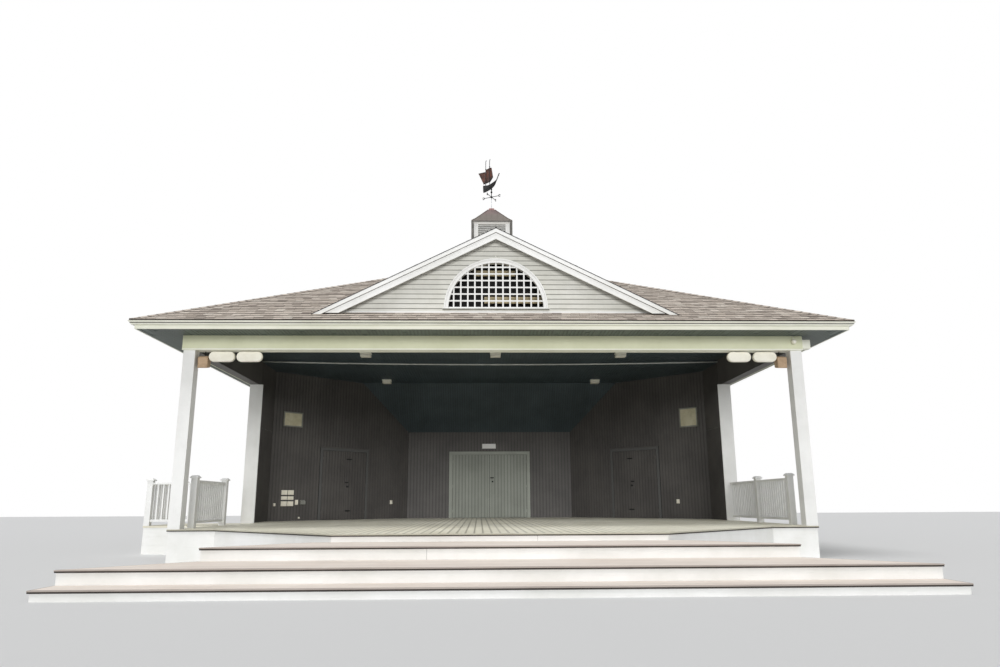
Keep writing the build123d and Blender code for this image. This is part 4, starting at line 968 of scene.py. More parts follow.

# %% [markdown]
# ## Stage boards and treads
# Deck boards run from front to back on the stage, and across on the steps.
# Both are laid as real boards with open joints, and they stand for the plain
# slabs of the CAD model. A rounded strip follows each edge, and below it a
# dark strip, set back, paints the shadow line that such a nosing casts.

# %% Stage floor
DECK = 38 * MM
DECK_PITCH = 0.14
DECK_GAP = 5 * MM
APRON_FRONT = -2.91
APRON_HALF = 2.68
STAGE_FRONT = -0.1425
STAGE_NOSE = 20 * MM
OPEN_JOINTS = {"Row_gap": DECK_GAP, "Edge_drop": 3 * MM, "Edge_width": 0.03, "Lines": 4}
NOSING_SHADOW_BACK = 3 * MM


def deck(name, x0, x1, low0, low1):
    """Deck boards between two distances left of the centre line; low0 and low1 are their front ends."""
    rows = round((x1 - x0) / DECK_PITCH)
    return courses(
        name, (-x0, 0, FLOOR - DECK), (0, 1, 0), (-1, 0, 0), stage_paint, Rows=rows,
        Row_pitch=(x1 - x0) / rows, Pieces=6, Piece_length=3.6, Piece_gap=3 * MM, Start=-6.5,
        Stagger=0.41, Butt=DECK, Head=DECK, Low=low0, Low_slope=(low1 - low0) / (x1 - x0), High=REAR,
        **OPEN_JOINTS)


apron_corner = APRON_HALF + STAGE_FRONT - APRON_FRONT
floor_boards = [
    deck("deck_middle", 0, APRON_HALF, APRON_FRONT + NOSE_STRIP, APRON_FRONT + NOSE_STRIP),
    deck("deck_corner", APRON_HALF, apron_corner, APRON_FRONT + NOSE_STRIP, STAGE_FRONT + NOSE_STRIP),
    deck("deck_side", apron_corner, SIDE, STAGE_FRONT + NOSE_STRIP, STAGE_FRONT + NOSE_STRIP),
]
floor_boards = both_sides(floor_boards)
stage_edge_line = [
    (-SIDE, STAGE_FRONT), (-apron_corner, STAGE_FRONT), (-APRON_HALF, APRON_FRONT),
    (APRON_HALF, APRON_FRONT), (apron_corner, STAGE_FRONT), (SIDE, STAGE_FRONT)]
floor_boards.append(moulding("stage_nosing", stage_edge_line, edge_profile(FLOOR, STAGE_NOSE), stage_edge))
# The dark strip under the stage nosing is painted shadow
floor_boards.append(moulding(
    "stage_nosing_shadow", stage_edge_line, nosing_shadow_profile(FLOOR - STAGE_NOSE, DECK - STAGE_NOSE, NOSING_SHADOW_BACK),
    shadow_and_joint_brown))
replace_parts(joined("stage_deck", floor_boards), "stage_floor")

# %% Treads of the front steps
TREAD = 28 * MM
TREAD_NOSE = 17 * MM
TREAD_SHADOW = 19 * MM
STEP_FORMS = (  # half width at the nose and at the back, nose, back and top
    (4.26, 2.978, -4.167, -2.885, 0.499),
    (5.54, 4.264, -5.418, -4.142, 0.315),
    (5.54, 5.54, -5.935, -5.393, 0.131),
)
treads = []
for nose_half, back_half, nose, back, top in STEP_FORMS:
    run = back - nose - NOSE_STRIP
    rows = round(run / DECK_PITCH)
    narrowing = (back_half - nose_half) / (back - nose)
    start_half = nose_half + narrowing * NOSE_STRIP
    end_strip = NOSE_STRIP * math.hypot(1, narrowing)
    treads.append(courses(
        "tread", (0, nose + NOSE_STRIP, top - TREAD), (1, 0, 0), (0, 1, 0), tread_board, Rows=rows,
        Row_pitch=run / rows, Pieces=6, Piece_length=BOARD_LONG, Piece_gap=3 * MM, Start=-9.15,
        Stagger=0.41, Butt=TREAD, Head=TREAD, Low=-start_half + end_strip, Low_slope=-narrowing,
        High=start_half - end_strip, High_slope=narrowing, **OPEN_JOINTS))
    edge_line = [(-back_half, back), (-nose_half, nose), (nose_half, nose), (back_half, back)]
    treads.append(moulding("nose", edge_line, edge_profile(top, TREAD_NOSE), tread_edge))
    # A dark strip under each tread nose is painted shadow
    treads.append(moulding("nosing_shadow", edge_line, nosing_shadow_profile(top - TREAD_NOSE, TREAD_SHADOW, NOSING_SHADOW_BACK),
                           shadow_and_joint_brown))
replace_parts(joined("step_tread_boards", treads), "step_treads")

# Two butt joints between riser boards, sealed with a dark bead
RISER_JOINTS = ((-1.08, -4.142, 0.315, 0.471), (0.586, -2.885, 0.499, 0.582))
joined("riser_joints", [
    board("bead", (x - 1.5 * MM, y - 1 * MM, low), (x + 1.5 * MM, y + 2 * MM, high), shadow_and_joint_brown, 0)
    for x, y, low, high in RISER_JOINTS])

# %% [markdown]
# ## Landing at the left side
# A small landing stands outside the opening on the left, with three steps
# behind it. It has the stage's deck boards, a skirt of white boards with a
# groove between them, and the same treads as the front steps.

# %% Landing and its steps
SKIRT = 38 * MM
SKIRT_IN = 12 * MM
SKIRT_BOARD = 0.194
GROOVE = 6 * MM
low_landing, high_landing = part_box("side_landing")


def skirt_profile(top):
    """Upright boards' edges seen from the end: flat faces with a groove between each two."""
    face = []
    count = round(top / SKIRT_BOARD)
    for k in range(count):
        low, high = top * k / count, top * (k + 1) / count
        face += [(0, low + GROOVE / 2 if k else 0), (0, high - GROOVE / 2)]
        if k < count - 1:
            face += [(-GROOVE, high - GROOVE / 2), (-GROOVE, high + GROOVE / 2)]
    face[-1] = (0, top)
    return face + [(-SKIRT, top), (-SKIRT, 0)]


def rectangle(low, high, inset=0.0):
    """The corners of an upright box in plan, anticlockwise."""
    return [(low.x + inset, low.y + inset), (high.x - inset, low.y + inset),
            (high.x - inset, high.y - inset), (low.x + inset, high.y - inset)]


landing_run = high_landing.y - low_landing.y
landing_rows = round(landing_run / DECK_PITCH)
landing = [
    moulding("skirt", rectangle(low_landing, high_landing, SKIRT_IN), skirt_profile(FLOOR - DECK),
             white_level, closed=True),
    courses(
        "landing_deck", (low_landing.x, low_landing.y, FLOOR - DECK), (1, 0, 0), (0, 1, 0), stage_paint,
        Rows=landing_rows, Row_pitch=landing_run / landing_rows, Pieces=1,
        Piece_length=high_landing.x - low_landing.x, Butt=DECK, Head=DECK, **OPEN_JOINTS)]
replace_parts(joined("landing_boards_and_skirt", landing), "side_landing")

LANDING_RISE = FLOOR / 4
LANDING_GOING = 0.28
side_x0, side_x1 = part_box("side_steps")[0].x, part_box("side_steps")[1].x
side_steps = []
for step in range(1, 4):
    back = high_landing.y + 2 * MM + (step - 1) * LANDING_GOING
    front = back + LANDING_GOING - 2 * MM
    top = FLOOR - step * LANDING_RISE
    middle = (back + front) / 2
    side_steps.append(board(
        "side_riser", (side_x0 + 20 * MM, back, 0), (side_x1 - 20 * MM, front - 25 * MM, top - TREAD),
        white_level))
    for near, far in ((back, middle - 2 * MM), (middle + 2 * MM, front)):
        side_steps.append(board("side_tread", (side_x0, near, top - TREAD), (side_x1, far, top),
                                tread_board, 4 * MM))
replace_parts(joined("side_step_boards", side_steps), "side_steps")

# %% [markdown]
# ## Hip and ridge caps
# Where two slopes meet, a roofer folds cut shingles over the joint, one after
# another up the hip. Here each fold is a pair of strips, one on each slope,
# laid by the same tree with one short piece in a row. Their rows run up the hip.


# %% Caps over the hips and ridges
CAP_WIDE = 140 * MM


def cap_strip(name, foot, top, inward, seed, fan=100.0):
    """Cap shingles on one slope, from foot up to top; inward points from the hip into the slope, and
    fan is how fast the strip may widen from its foot, where the eave cuts it."""
    climb = Vector(top) - Vector(foot)
    rows = round(climb.length / COURSE)
    sideways = Vector(inward) - Vector(inward).project(climb)
    facing = sideways.cross(climb).z > 0
    low, high = (-3 * MM, CAP_WIDE) if facing else (-CAP_WIDE, 3 * MM)
    lifted = Vector(foot) + sideways.cross(climb).normalized() * (6 * MM if facing else -6 * MM)
    return courses(
        name, lifted, sideways if facing else -sideways, climb, shingles, Rows=rows,
        Row_pitch=climb.length / rows, Pieces=1, Piece_length=high - low, Start=low, Butt=9 * MM,
        Head=4 * MM, Low=-4 * MM, Low_slope=-fan, High=4 * MM, High_slope=fan, Seed=seed)


# The hip climbs 1.5 long for 1 along the eave, so the eave leaves it at this slope
EAVE_FAN = math.sqrt(1.5 ** 2 - 1)
strips = []
for side_x in (-1, 1):
    for side_y in (-1, 1):
        eave_y = EAVE_Y0 + EDGE_IN if side_y < 0 else EAVE_Y1 - EDGE_IN
        foot = (side_x * (EAVE_X - EDGE_IN), eave_y, EAVE_TOP + EDGE_IN / 2)
        top = (side_x * RIDGE_HALF, MIDDLE_Y, RIDGE_Z)
        strips.append(cap_strip("hip_a", foot, top, (-side_x, 0, 0), 31, EAVE_FAN))
        strips.append(cap_strip("hip_b", foot, top, (0, -side_y, 0), 31, EAVE_FAN))
    start, stop = (-RIDGE_HALF, MIDDLE_Y, RIDGE_Z), (RIDGE_HALF, MIDDLE_Y, RIDGE_Z)
    strips.append(cap_strip("ridge", start, stop, (0, side_x, -PITCH_SLOPE), 33))
    gable_start, gable_stop = (0, RAKE_FACE, GABLE_APEX), (0, VALLEY_TOP_Y, GABLE_APEX)
    strips.append(cap_strip("gable_ridge", gable_start, gable_stop, (side_x, 0, -PITCH_SLOPE), 34))
joined("hip_and_ridge_caps", strips)

# %% [markdown]
# ## Gutters
# The eaves carry aluminium gutters with an ogee front: a narrow floor, a
# sloping S above it and an upright lip. Their hollow profile is run round the
# whole roof as a moulding and mitred at the corners. A second, dark profile
# lies in the crease of the S and paints the shade that falls there as a
# line.

# %% Gutter round the eaves
low_gutter, high_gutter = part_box("gutters")
GUTTER_OUT = high_gutter.x - high_fascia.x
GUTTER_HIGH = high_gutter.z - low_gutter.z
OGEE = [
    (0.00, 0.00), (0.50, 0.00), (0.53, 0.04), (0.56, 0.20), (0.60, 0.40), (0.66, 0.50), (0.80, 0.66),
    (0.91, 0.84),
    (0.95, 0.90), (1.00, 0.94), (1.00, 1.00), (0.93, 1.00), (0.93, 0.95), (0.90, 0.87), (0.77, 0.70),
    (0.63, 0.545),
    (0.575, 0.44), (0.535, 0.22), (0.505, 0.08), (0.48, 0.045), (0.03, 0.045), (0.03, 1.00), (0.00, 1.00)]
eave_path = [
    (-high_fascia.x, low_fascia.y), (high_fascia.x, low_fascia.y), (high_fascia.x, high_fascia.y),
    (-high_fascia.x, high_fascia.y)]
gutter = moulding(
    "gutter_run", eave_path, [(out * GUTTER_OUT, low_gutter.z + up * GUTTER_HIGH) for out, up in OGEE],
    gutter_enamel, closed=True)
# A dark strip in the crease paints the shade that falls there
gutter_crease_shade = moulding(
    "gutter_crease_shade", eave_path, [
        (out * GUTTER_OUT, low_gutter.z + up * GUTTER_HIGH)
        for out, up in ((0.57, 0.38), (0.70, 0.38), (0.70, 0.54), (0.57, 0.54))],
    shadow_and_joint_brown, closed=True)
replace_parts(joined("ogee_gutters", [gutter, gutter_crease_shade]), "gutters")

# %% [markdown]
# ## Rake trim, flashing and the attic board
# The sloping rake boards carry a second, narrower board along their top edge,
# with a dark drip edge above it and a dark strip below it that paints the
# shadow under its edge. A strip of flashing covers the joint where the gable
# wall meets the roof. Behind the lattice a black board paints the shade inside
# the attic, so the openings read black, apart from three raw timbers. A sill
# and a moulded arch frame the vent, with a grey strip under the sill that
# paints its shaded underside.

# %% Gable trim
DRIP = 14 * MM
CROWN_HIGH = 84 * MM
CROWN_SHADOW = 9 * MM


def gable_strip(name, top, high, proud, lift, finish, bevel=0.0):
    """A strip in front of both rakes whose top line meets the middle at this height. Its feet are cut
    level, this much above the main roof."""
    foot = (RAKE_FACE - EAVE_Y0) * PITCH_SLOPE + EAVE_TOP + lift
    top_half, low_half = (top - foot) / PITCH_SLOPE, (top - high - foot) / PITCH_SLOPE
    return plate(
        name, [(-top_half, foot), (0, top), (top_half, foot), (low_half, foot), (0, top - high),
               (-low_half, foot)],
        (0, RAKE_FACE, 0), (1, 0, 0), (0, 0, 1), (0, -proud, 0), finish, bevel)


foot_z = (GABLE_FACE - EAVE_Y0) * PITCH_SLOPE + EAVE_TOP
joined("gable_trim", [
    gable_strip("drip_edge", GABLE_APEX, DRIP, 30 * MM, 6 * MM, black_iron),
    gable_strip("rake_crown", GABLE_APEX - DRIP, CROWN_HIGH, 24 * MM, 6 * MM, white_level, 2 * MM),
    # A dark strip under the crown paints its shadow
    gable_strip("crown_shadow_line", GABLE_APEX - DRIP - CROWN_HIGH, CROWN_SHADOW, 3 * MM, 40 * MM, shadow_and_joint_brown),
    board("flashing", (-3.5, GABLE_FACE - 17 * MM, foot_z - 6 * MM),
          (3.5, GABLE_FACE, foot_z + 34 * MM), white_level),
])

# A black board paints the shade inside the attic, and the timbers show in front of it
attic = [plate(
    "attic", [
        (VENT_OUTER * 0.97 * math.cos(math.pi * k / 16), VENT_OUTER * 0.97 * math.sin(math.pi * k / 16))
        for k in range(17)],
    (0, GABLE_FACE + 0.4, VENT_BASE - 0.01), (1, 0, 0), (0, 0, 1), (0, 12 * MM, 0), painted_shade_black)]
for x0, x1, low, high in ((-0.46, 0.42, 5.79, 5.91), (-0.24, 1.0, 5.19, 5.33), (-0.88, 1.0, 5.07, 5.11)):
    attic.append(board("timber", (x0, GABLE_FACE + 0.25, low), (x1, GABLE_FACE + 0.29, high), raw_pine))
joined("attic_shade_board", attic)
sill = board(
    "sill", (-1.11, GABLE_FACE - 46 * MM, VENT_BASE - 12 * MM), (1.11, GABLE_FACE, VENT_BASE),
    white_level, 2 * MM)
# A grey strip under the sill paints its shaded underside
sill_shadow_strip = board(
    "sill_shadow_strip", (-1.1, GABLE_FACE - 40 * MM, VENT_BASE - 30 * MM), (1.1, GABLE_FACE, VENT_BASE - 12 * MM),
    grey_paint_and_sill_shade)
arch_rings = []
for step in range(33):
    angle = math.pi * step / 32
    arch_rings.append([
        (radius * math.cos(angle), GABLE_FACE - depth, VENT_BASE + radius * math.sin(angle))
        for radius, depth in (
            (VENT_OUTER - 0.035, 30 * MM), (VENT_OUTER - 0.035, 40 * MM), (VENT_OUTER - 0.025, 46 * MM),
            (VENT_OUTER - 0.006, 46 * MM), (VENT_OUTER, 40 * MM), (VENT_OUTER, 30 * MM))])
joined("vent_sill_and_arch", [sill, sill_shadow_strip, lofted("arch", arch_rings, white_level)])

# %% [markdown]
# ## Cupola
# The cupola is a small square tower with a louvre on each side. A louvre's
# slats slope down and outwards, one above another, so rain runs off and air
# passes. They repeat, so a second geometry tree hangs them at an even pitch,
# in front of a black screen that paints the shade inside the cupola. Flat
# boards, a frieze and a sill frame each louvre. One side is dressed, and
# copies of it are turned round the middle. A moulding under the eave runs
# round all four sides.


# %% The tree that hangs louvre slats
def louvre_tree():
    """A column of tilted slats at an even pitch."""
    tree, given = new_tree("louvre_slats", (
        ("Slats", "Int"), ("Pitch", "Float"), ("Long", "Float"), ("Wide", "Float"), ("Thick", "Float"),
        ("Tilt", "Float"), ("Finish", "Material")))
    step = add(tree, "ShaderNodeCombineXYZ", {"Z": given["Pitch"]})
    line = add(tree, "GeometryNodeMeshLine", {"Count": given["Slats"], "Offset": step})
    size = add(tree, "ShaderNodeCombineXYZ", {"X": given["Long"], "Y": given["Wide"], "Z": given["Thick"]})
    slat = add(tree, "GeometryNodeMeshCube", {"Size": size})
    turn = add(tree, "ShaderNodeCombineXYZ", {"X": given["Tilt"]})
    hung = add(tree, "GeometryNodeInstanceOnPoints", {"Points": line, "Instance": slat, "Rotation": turn})
    plain = add(tree, "GeometryNodeRealizeInstances", {0: hung})
    done = add(tree, "GeometryNodeSetMaterial", {"Geometry": plain, "Material": given["Finish"]})
    add(tree, "NodeGroupOutput", {"Geometry": done})
    return tree


# %% Cupola sides
CUPOLA_FOOT, CUPOLA_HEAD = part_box("cupola_body")
CUPOLA = CUPOLA_HEAD.x
CUPOLA_TOP = CUPOLA_HEAD.z
LOUVRE_LOW, LOUVRE_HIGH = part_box("cupola_louvres")[0].z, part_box("cupola_louvres")[1].z
LOUVRE_HALF = 0.382
SLATS = 10
SLAT_WIDE = 68 * MM
SLAT_THICK = 8 * MM
SLAT_TILT = math.radians(45)
SLAT_RISE = 70 * MM
SLAT_PITCH = (LOUVRE_HIGH - LOUVRE_LOW - SLAT_RISE) / (SLATS - 1)
CORNER_PROUD = 12 * MM


def turned_round(piece, quarter):
    """A copy turned by quarters round the cupola's upright axis."""
    mesh = piece.data.copy()
    about = Matrix.Translation((0, MIDDLE_Y, 0))
    mesh.transform(about @ Matrix.Rotation(quarter * math.pi / 2, 4, "Z") @ about.inverted())
    return in_scene(piece.name + "_turned", mesh)


face_y = MIDDLE_Y - CUPOLA
slats = grown(louvre_tree(), "slats", {
    "Slats": SLATS, "Pitch": SLAT_PITCH, "Long": 2 * LOUVRE_HALF, "Wide": SLAT_WIDE, "Thick": SLAT_THICK,
    "Tilt": SLAT_TILT, "Finish": white_level})
slats.data.transform(Matrix.Translation((0, face_y + 24 * MM, LOUVRE_LOW + SLAT_RISE / 2)))
# A black screen behind the slats paints the shade inside the cupola
shade_screen = board(
    "shade_screen", (-LOUVRE_HALF, face_y + 60 * MM, LOUVRE_LOW),
    (LOUVRE_HALF, face_y + 66 * MM, LOUVRE_HIGH), painted_shade_black)
louvres = [turned_round(piece, quarter) for piece in (slats, shade_screen) for quarter in range(4)]
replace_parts(joined("louvre_slats", louvres), "cupola_louvres")

one_side = []
for side in (-1, 1):
    x0, x1 = sorted((side * LOUVRE_HALF, side * (CUPOLA + CORNER_PROUD)))
    one_side.append(board(
        "corner_board", (x0, face_y - CORNER_PROUD, CUPOLA_FOOT.z + 10 * MM),
        (x1, face_y, CUPOLA_TOP - 8 * MM), white_upright))
one_side.append(board(
    "frieze", (-LOUVRE_HALF, face_y - CORNER_PROUD, LOUVRE_HIGH),
    (LOUVRE_HALF, face_y, CUPOLA_TOP - 8 * MM), white_level))
one_side.append(board(
    "louvre_sill", (-LOUVRE_HALF - 0.02, face_y - 30 * MM, LOUVRE_LOW - 38 * MM),
    (LOUVRE_HALF + 0.02, face_y, LOUVRE_LOW), white_level, 4 * MM))
cupola_trim = [turned_round(piece, quarter) for piece in one_side for quarter in range(4)]
cupola_trim.append(moulding(
    "bed_mould", rectangle(Vector((-CUPOLA, face_y)), Vector((CUPOLA, MIDDLE_Y + CUPOLA))), [
        (out * MM, CUPOLA_TOP + up * MM)
        for out, up in ((0, -40), (14, -40), (16, -34), (24, -26), (42, -18), (50, -12), (52, 0), (0, 0))],
    white_level, closed=True))
for piece in [slats, shade_screen] + one_side:
    bpy.data.meshes.remove(piece.data)
joined("cupola_trim", cupola_trim)

# %% [markdown]
# The dark uprights at the cupola's corners carry the overhang. They stand on
# the roof, a little outside the white corner boards.

# %% Dark uprights at the corners of the cupola
POST_IN, POST_OUT = 0.512, 0.572
uprights = []
for side_x in (-1, 1):
    for side_y in (-1, 1):
        xs = sorted((side_x * POST_IN, side_x * POST_OUT))
        ys = sorted((MIDDLE_Y + side_y * POST_IN, MIDDLE_Y + side_y * POST_OUT))
        uprights.append(board("upright", (xs[0], ys[0], CUPOLA_FOOT.z - 12 * MM),
                              (xs[1], ys[1], CUPOLA_TOP), aged_bronze, 3 * MM))
joined("cupola_uprights", uprights)

# %% [markdown]
# ## Copper roof of the cupola
# The little roof is sheet copper in strips, folded together in standing seams.
# The sheet is a stack of squares that get smaller, and each seam is a thin
# upright bar that runs up the slope until it meets a hip.

# %% Copper sheet and seams
EAVE_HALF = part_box("cupola_roof")[1].x
ROOF_CURVE = [(EAVE_HALF, 0.020), (0.460, 0.127), (0.094, 0.540)]  # half width and height of the sheet
CAP_FORM = [(0.104, 0.520), (0.096, 0.542), (0.078, 0.562), (0.068, 0.600), (0.062, 0.605)]


def squares(form):
    """Square rings round the cupola's axis from half widths and heights above its top."""
    return [
        [(x * half, MIDDLE_Y + y * half, CUPOLA_TOP + height) for x,
         y in ((-1, -1), (1, -1), (1, 1), (-1, 1))]
        for half, height in form]


def height_at(half):
    """Height of the copper sheet where the square is this wide."""
    for (wide, low), (narrow, high) in zip(ROOF_CURVE, ROOF_CURVE[1:]):
        if narrow <= half <= wide:
            return low + (high - low) * (wide - half) / (wide - narrow)
    return ROOF_CURVE[0][1]


def seam(halves, offset=None, thick=9 * MM, high=20 * MM):
    """A folded seam that stands up from the sheet, from the eave up. Its line lies this far beside the
    middle of the front slope, or on the hip."""
    line = [Vector((half if offset is None else offset, MIDDLE_Y - half,
                    CUPOLA_TOP + height_at(half) - 2 * MM))
            for half in halves]
    sideways = (line[-1] - line[0]).cross(Vector((0, 0, 1))).normalized() * thick / 2
    lift = Vector((0, 0, high))
    return lofted("seam", [[p - sideways, p + sideways, p + sideways + lift,
                            p - sideways + lift] for p in line],
                  copper_roof)


SEAM_PITCH = 0.16
SEAM_FOOT = EAVE_HALF - 8 * MM
FLARE = ROOF_CURVE[1][0]
first_seams = [seam([SEAM_FOOT, FLARE, 0.1], thick=12 * MM, high=22 * MM)]
for count in range(-3, 4):
    offset = count * SEAM_PITCH
    stop = max(abs(offset), 0.1)
    first_seams.append(seam([half for half in (SEAM_FOOT, FLARE) if half > stop] + [stop], offset))
seams = [turned_round(piece, quarter) for piece in first_seams for quarter in range(4)]
for piece in first_seams:
    bpy.data.meshes.remove(piece.data)
copper_sheet = lofted("copper_sheet", squares([(EAVE_HALF - 2 * MM, 0.004)] + ROOF_CURVE), copper_roof)
eave_band = moulding(
    "eave_band", [(x, y) for x, y, z in squares(ROOF_CURVE)[0]], [
        (-20 * MM, CUPOLA_TOP), (0, CUPOLA_TOP), (0, CUPOLA_TOP + 24 * MM), (-6 * MM, CUPOLA_TOP + 27 * MM),
        (-20 * MM, CUPOLA_TOP + 27 * MM)],
    aged_bronze, closed=True)
cap = lofted("cap_sheet", squares(CAP_FORM), copper_cap)
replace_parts(joined("copper_roof_sheet", [copper_sheet, eave_band, cap] + seams), "cupola_roof")

# %% [markdown]
# ## Spindle and compass arms
# A pale galvanised pole stands on the copper cap. It carries an iron hub with
# the four compass arms, which end in small curls, and a ball above them.
# These are turned and forged bars, so the pole, hub and ball are profiles
# spun round an axis, and the arms are rods drawn out along lines.

# %% Spindle, ball and arms
SPINDLE_FOOT, SPINDLE_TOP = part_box("vane_spindle")[0].z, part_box("vane_spindle")[1].z
CROSS_Z = 9.71
BALL_Z = 9.86
HEADING = math.radians(-59.5)
ARM_TURN = HEADING + math.radians(31)
ARM_REACH = 0.29
pole_profile = in_mm([(0, -6), (26, -6), (22, 8), (10, 26), (9, 40)], SPINDLE_FOOT)
pole_profile += in_mm([(9, -24), (0, -24)], CROSS_Z)
pole = turned("pole", pole_profile, (0, MIDDLE_Y, 0), (0, 0, 1), pale_pole, 16)
hub_profile = in_mm([(0, -26), (22, -26), (34, -12), (36, 0), (32, 14), (14, 26), (11, 40)], CROSS_Z)
hub_profile += in_mm([(11, -34), (20, -26), (28, -10), (28, 8), (20, 24), (12, 34)], BALL_Z)
hub_profile += in_mm([(12, -2), (10, 0), (0, 0)], SPINDLE_TOP)
hub = turned("hub", hub_profile, (0, MIDDLE_Y, 0), (0, 0, 1), black_iron, 20)
iron = [pole, hub]
CURL_START = 0.19
CURL_STEPS = 14
for quarter in range(4):
    angle = ARM_TURN + quarter * math.pi / 2
    arm = Vector((math.cos(angle), math.sin(angle), 0))
    centre = Vector((0, MIDDLE_Y, CROSS_Z))
    iron.append(rod("arm", [centre + arm * reach for reach in (0.02, 0.11, CURL_START + 0.03)], 9 * MM,
                    black_iron))
    # Two flat scrolls, one up and one down, that meet at the tip of the arm
    for turn in (-1, 1):
        curl = []
        for k in range(CURL_STEPS + 1):
            swing = math.pi * (1.55 - 1.45 * k / CURL_STEPS)
            radius = (16 + 20 * k / CURL_STEPS) * MM
            along = ARM_REACH - 36 * MM + radius * math.cos(swing)
            curl.append(centre + arm * along + Vector((0, 0, turn * radius * abs(math.sin(swing)))))
        iron.append(rod("curl", curl, 8 * MM, black_iron, 6))
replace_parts(joined("compass_and_spindle", iron), "vane_spindle")

# %% [markdown]
# ## The ship
# The vane is a little two-masted ship. Its hull is blackened iron and its
# sails are beaten copper. The hull is lofted through cross-sections from
# stern to bow, and each sail is a curved sheet hammered out to one side. The
# ship is made along X, then turned to the way it points, and it rides on the
# weathervane's own body.


# %% Hull, masts and sails
def ship_place(piece):
    """Turn a piece made along X to the ship's heading, above the cupola."""
    piece.data.transform(Matrix.Translation((0, MIDDLE_Y, FLOOR)) @ Matrix.Rotation(HEADING, 4, "Z"))
    return piece


HULL = [  # place along, keel, deck and half breadth
    (-0.45, 9.388, 9.612, 0.018), (-0.35, 9.366, 9.577, 0.024), (-0.20, 9.348, 9.525, 0.029),
    (-0.10, 9.343, 9.503, 0.030), (0.00, 9.346, 9.497, 0.029), (0.13, 9.362, 9.499, 0.023),
    (0.20, 9.395, 9.509, 0.016), (0.26, 9.455, 9.520, 0.008), (0.30, 9.525, 9.531, 0.002)]
hull_rings = []
for along, keel, deck, half in HULL:
    deep = deck - keel
    hull_rings.append([
        (along, y * half, keel + up * deep)
        for y, up in ((0, 0), (0.45, 0.10), (0.8, 0.34), (0.95, 0.66), (1, 1), (0.8, 1), (0.74, 0.86),
                      (-0.74, 0.86), (-0.8, 1), (-1, 1), (-0.95, 0.66), (-0.8, 0.34), (-0.45, 0.10))])
ship = [lofted("hull", hull_rings, black_iron)]
for line_up in (0.4, 0.7):
    for side in (-1, 1):
        ship.append(rod("wale", [(along, side * half * 0.98, keel + (deck - keel) * line_up)
                                 for along, keel, deck, half in HULL[1:-1]], 3.5 * MM, copper_sail, 6))


def sail(name, corners, belly, steps=8, thick=3 * MM):
    """A hammered sheet between four corners (along, up), bulging sideways by belly."""
    (a, b, c, d) = corners
    front, back = [], []
    for i in range(steps + 1):
        for j in range(steps + 1):
            u, v = i / steps, j / steps
            along = (1 - u) * ((1 - v) * a[0] + v * d[0]) + u * ((1 - v) * b[0] + v * c[0])
            up = (1 - u) * ((1 - v) * a[1] + v * d[1]) + u * ((1 - v) * b[1] + v * c[1])
            out = belly * math.sin(math.pi * u) * (0.35 + 0.65 * math.sin(math.pi * min(1.0, v * 1.15)))
            front.append((along, out, up))
            back.append((along, out + thick, up))
    side = steps + 1
    faces = []
    total = side * side
    for i in range(steps):
        for j in range(steps):
            k = i * side + j
            faces.append((k, k + 1, k + side + 1, k + side))
            faces.append((total + k, total + k + side, total + k + side + 1, total + k + 1))
    rim = [j for j in range(side)] + [i * side + steps for i in range(1, side)]
    rim += [steps * side + j for j in range(steps - 1, -1, -1)] + [i * side for i in range(steps - 1, 0,
                                                                                           -1)]
    for here, there in zip(rim, rim[1:] + rim[:1]):
        faces.append((here, there, total + there, total + here))
    return solid(name, front + back, faces, copper_sail, smooth=True)


SAILS = {  # lower aft, lower fore, upper fore and upper aft corners
    "aft_sail": [(-0.440, 9.652), (-0.312, 9.628), (-0.312, 10.000), (-0.742, 10.113)],
    "main_sail": [(-0.310, 9.628), (-0.110, 9.600), (-0.105, 10.040), (-0.300, 10.060)],
    "fore_sail": [(-0.085, 9.586), (0.088, 9.683), (0.007, 10.003), (-0.092, 10.040)],
}
for name, corners in SAILS.items():
    ship.append(sail(name, corners, 22 * MM))
    for (x0, z0), (x1, z1) in ((corners[0], corners[1]), (corners[2], corners[3])):
        ship.append(rod("spar", [(x0 - 6 * MM, 0, z0), (x1 + 6 * MM, 0, z1)], 5 * MM, black_iron))
MASTS = ((-0.320, 10.285), (-0.103, 10.235))
PENNANT = 0.085
for along, top in MASTS:
    ship.append(rod("mast", [(along, 0, 9.48), (along, 0, 9.9), (along, 0, top)], 9 * MM, black_iron))
    ship.append(turned("top", in_mm([(0, -14), (12, -12), (20, 10), (0, 14)]),
                       (along, 0, 10.075), (0, 0, 1), black_iron, 12))
    pennant = []
    for k in range(9):
        part = k / 8
        pennant.append((along + 34 * MM * part ** 2, 0,
                        top - 2 * MM + PENNANT * part - 12 * MM * part ** 4))
    ship.append(rod("pennant", pennant, 10 * MM, black_iron, 6))
ship.append(rod("bowsprit", [(0.270, 0, 9.500), (0.350, 0, 9.583), (0.430, 0, 9.667)], 13 * MM,
                black_iron, 10))
knob_profile = in_mm([(0, -17), (14, -14), (18, 0), (14, 14), (0, 17)])
ship.append(turned("knob", knob_profile, (0.388, 0, 9.622), (0.69, 0, 0.72), black_iron, 12))
ship.append(turned("socket", [
    (13 * MM, 9.31), (20 * MM, 9.31), (20 * MM, 9.37), (17 * MM, 9.38), (17 * MM, 9.47), (14 * MM, 9.48),
    (13 * MM, 9.48)], (0, 0, 0), (0, 0, 1), black_iron, 16))
# The socket passes up through the hull and turns on the top of the spindle
ship = [ship_place(piece) for piece in ship]
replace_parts(joined("copper_ship", ship, "weathervane"), "vane_ship")

# %% [markdown]
# ## Boarded doors
# The doors are boarded like the walls. The boards stand on each leaf and ride
# with it when it opens, so they are made leaf by leaf, on the leaf's own
# body. A black rubber seal at the meeting edge of each leaf closes the gap
# between two of them.

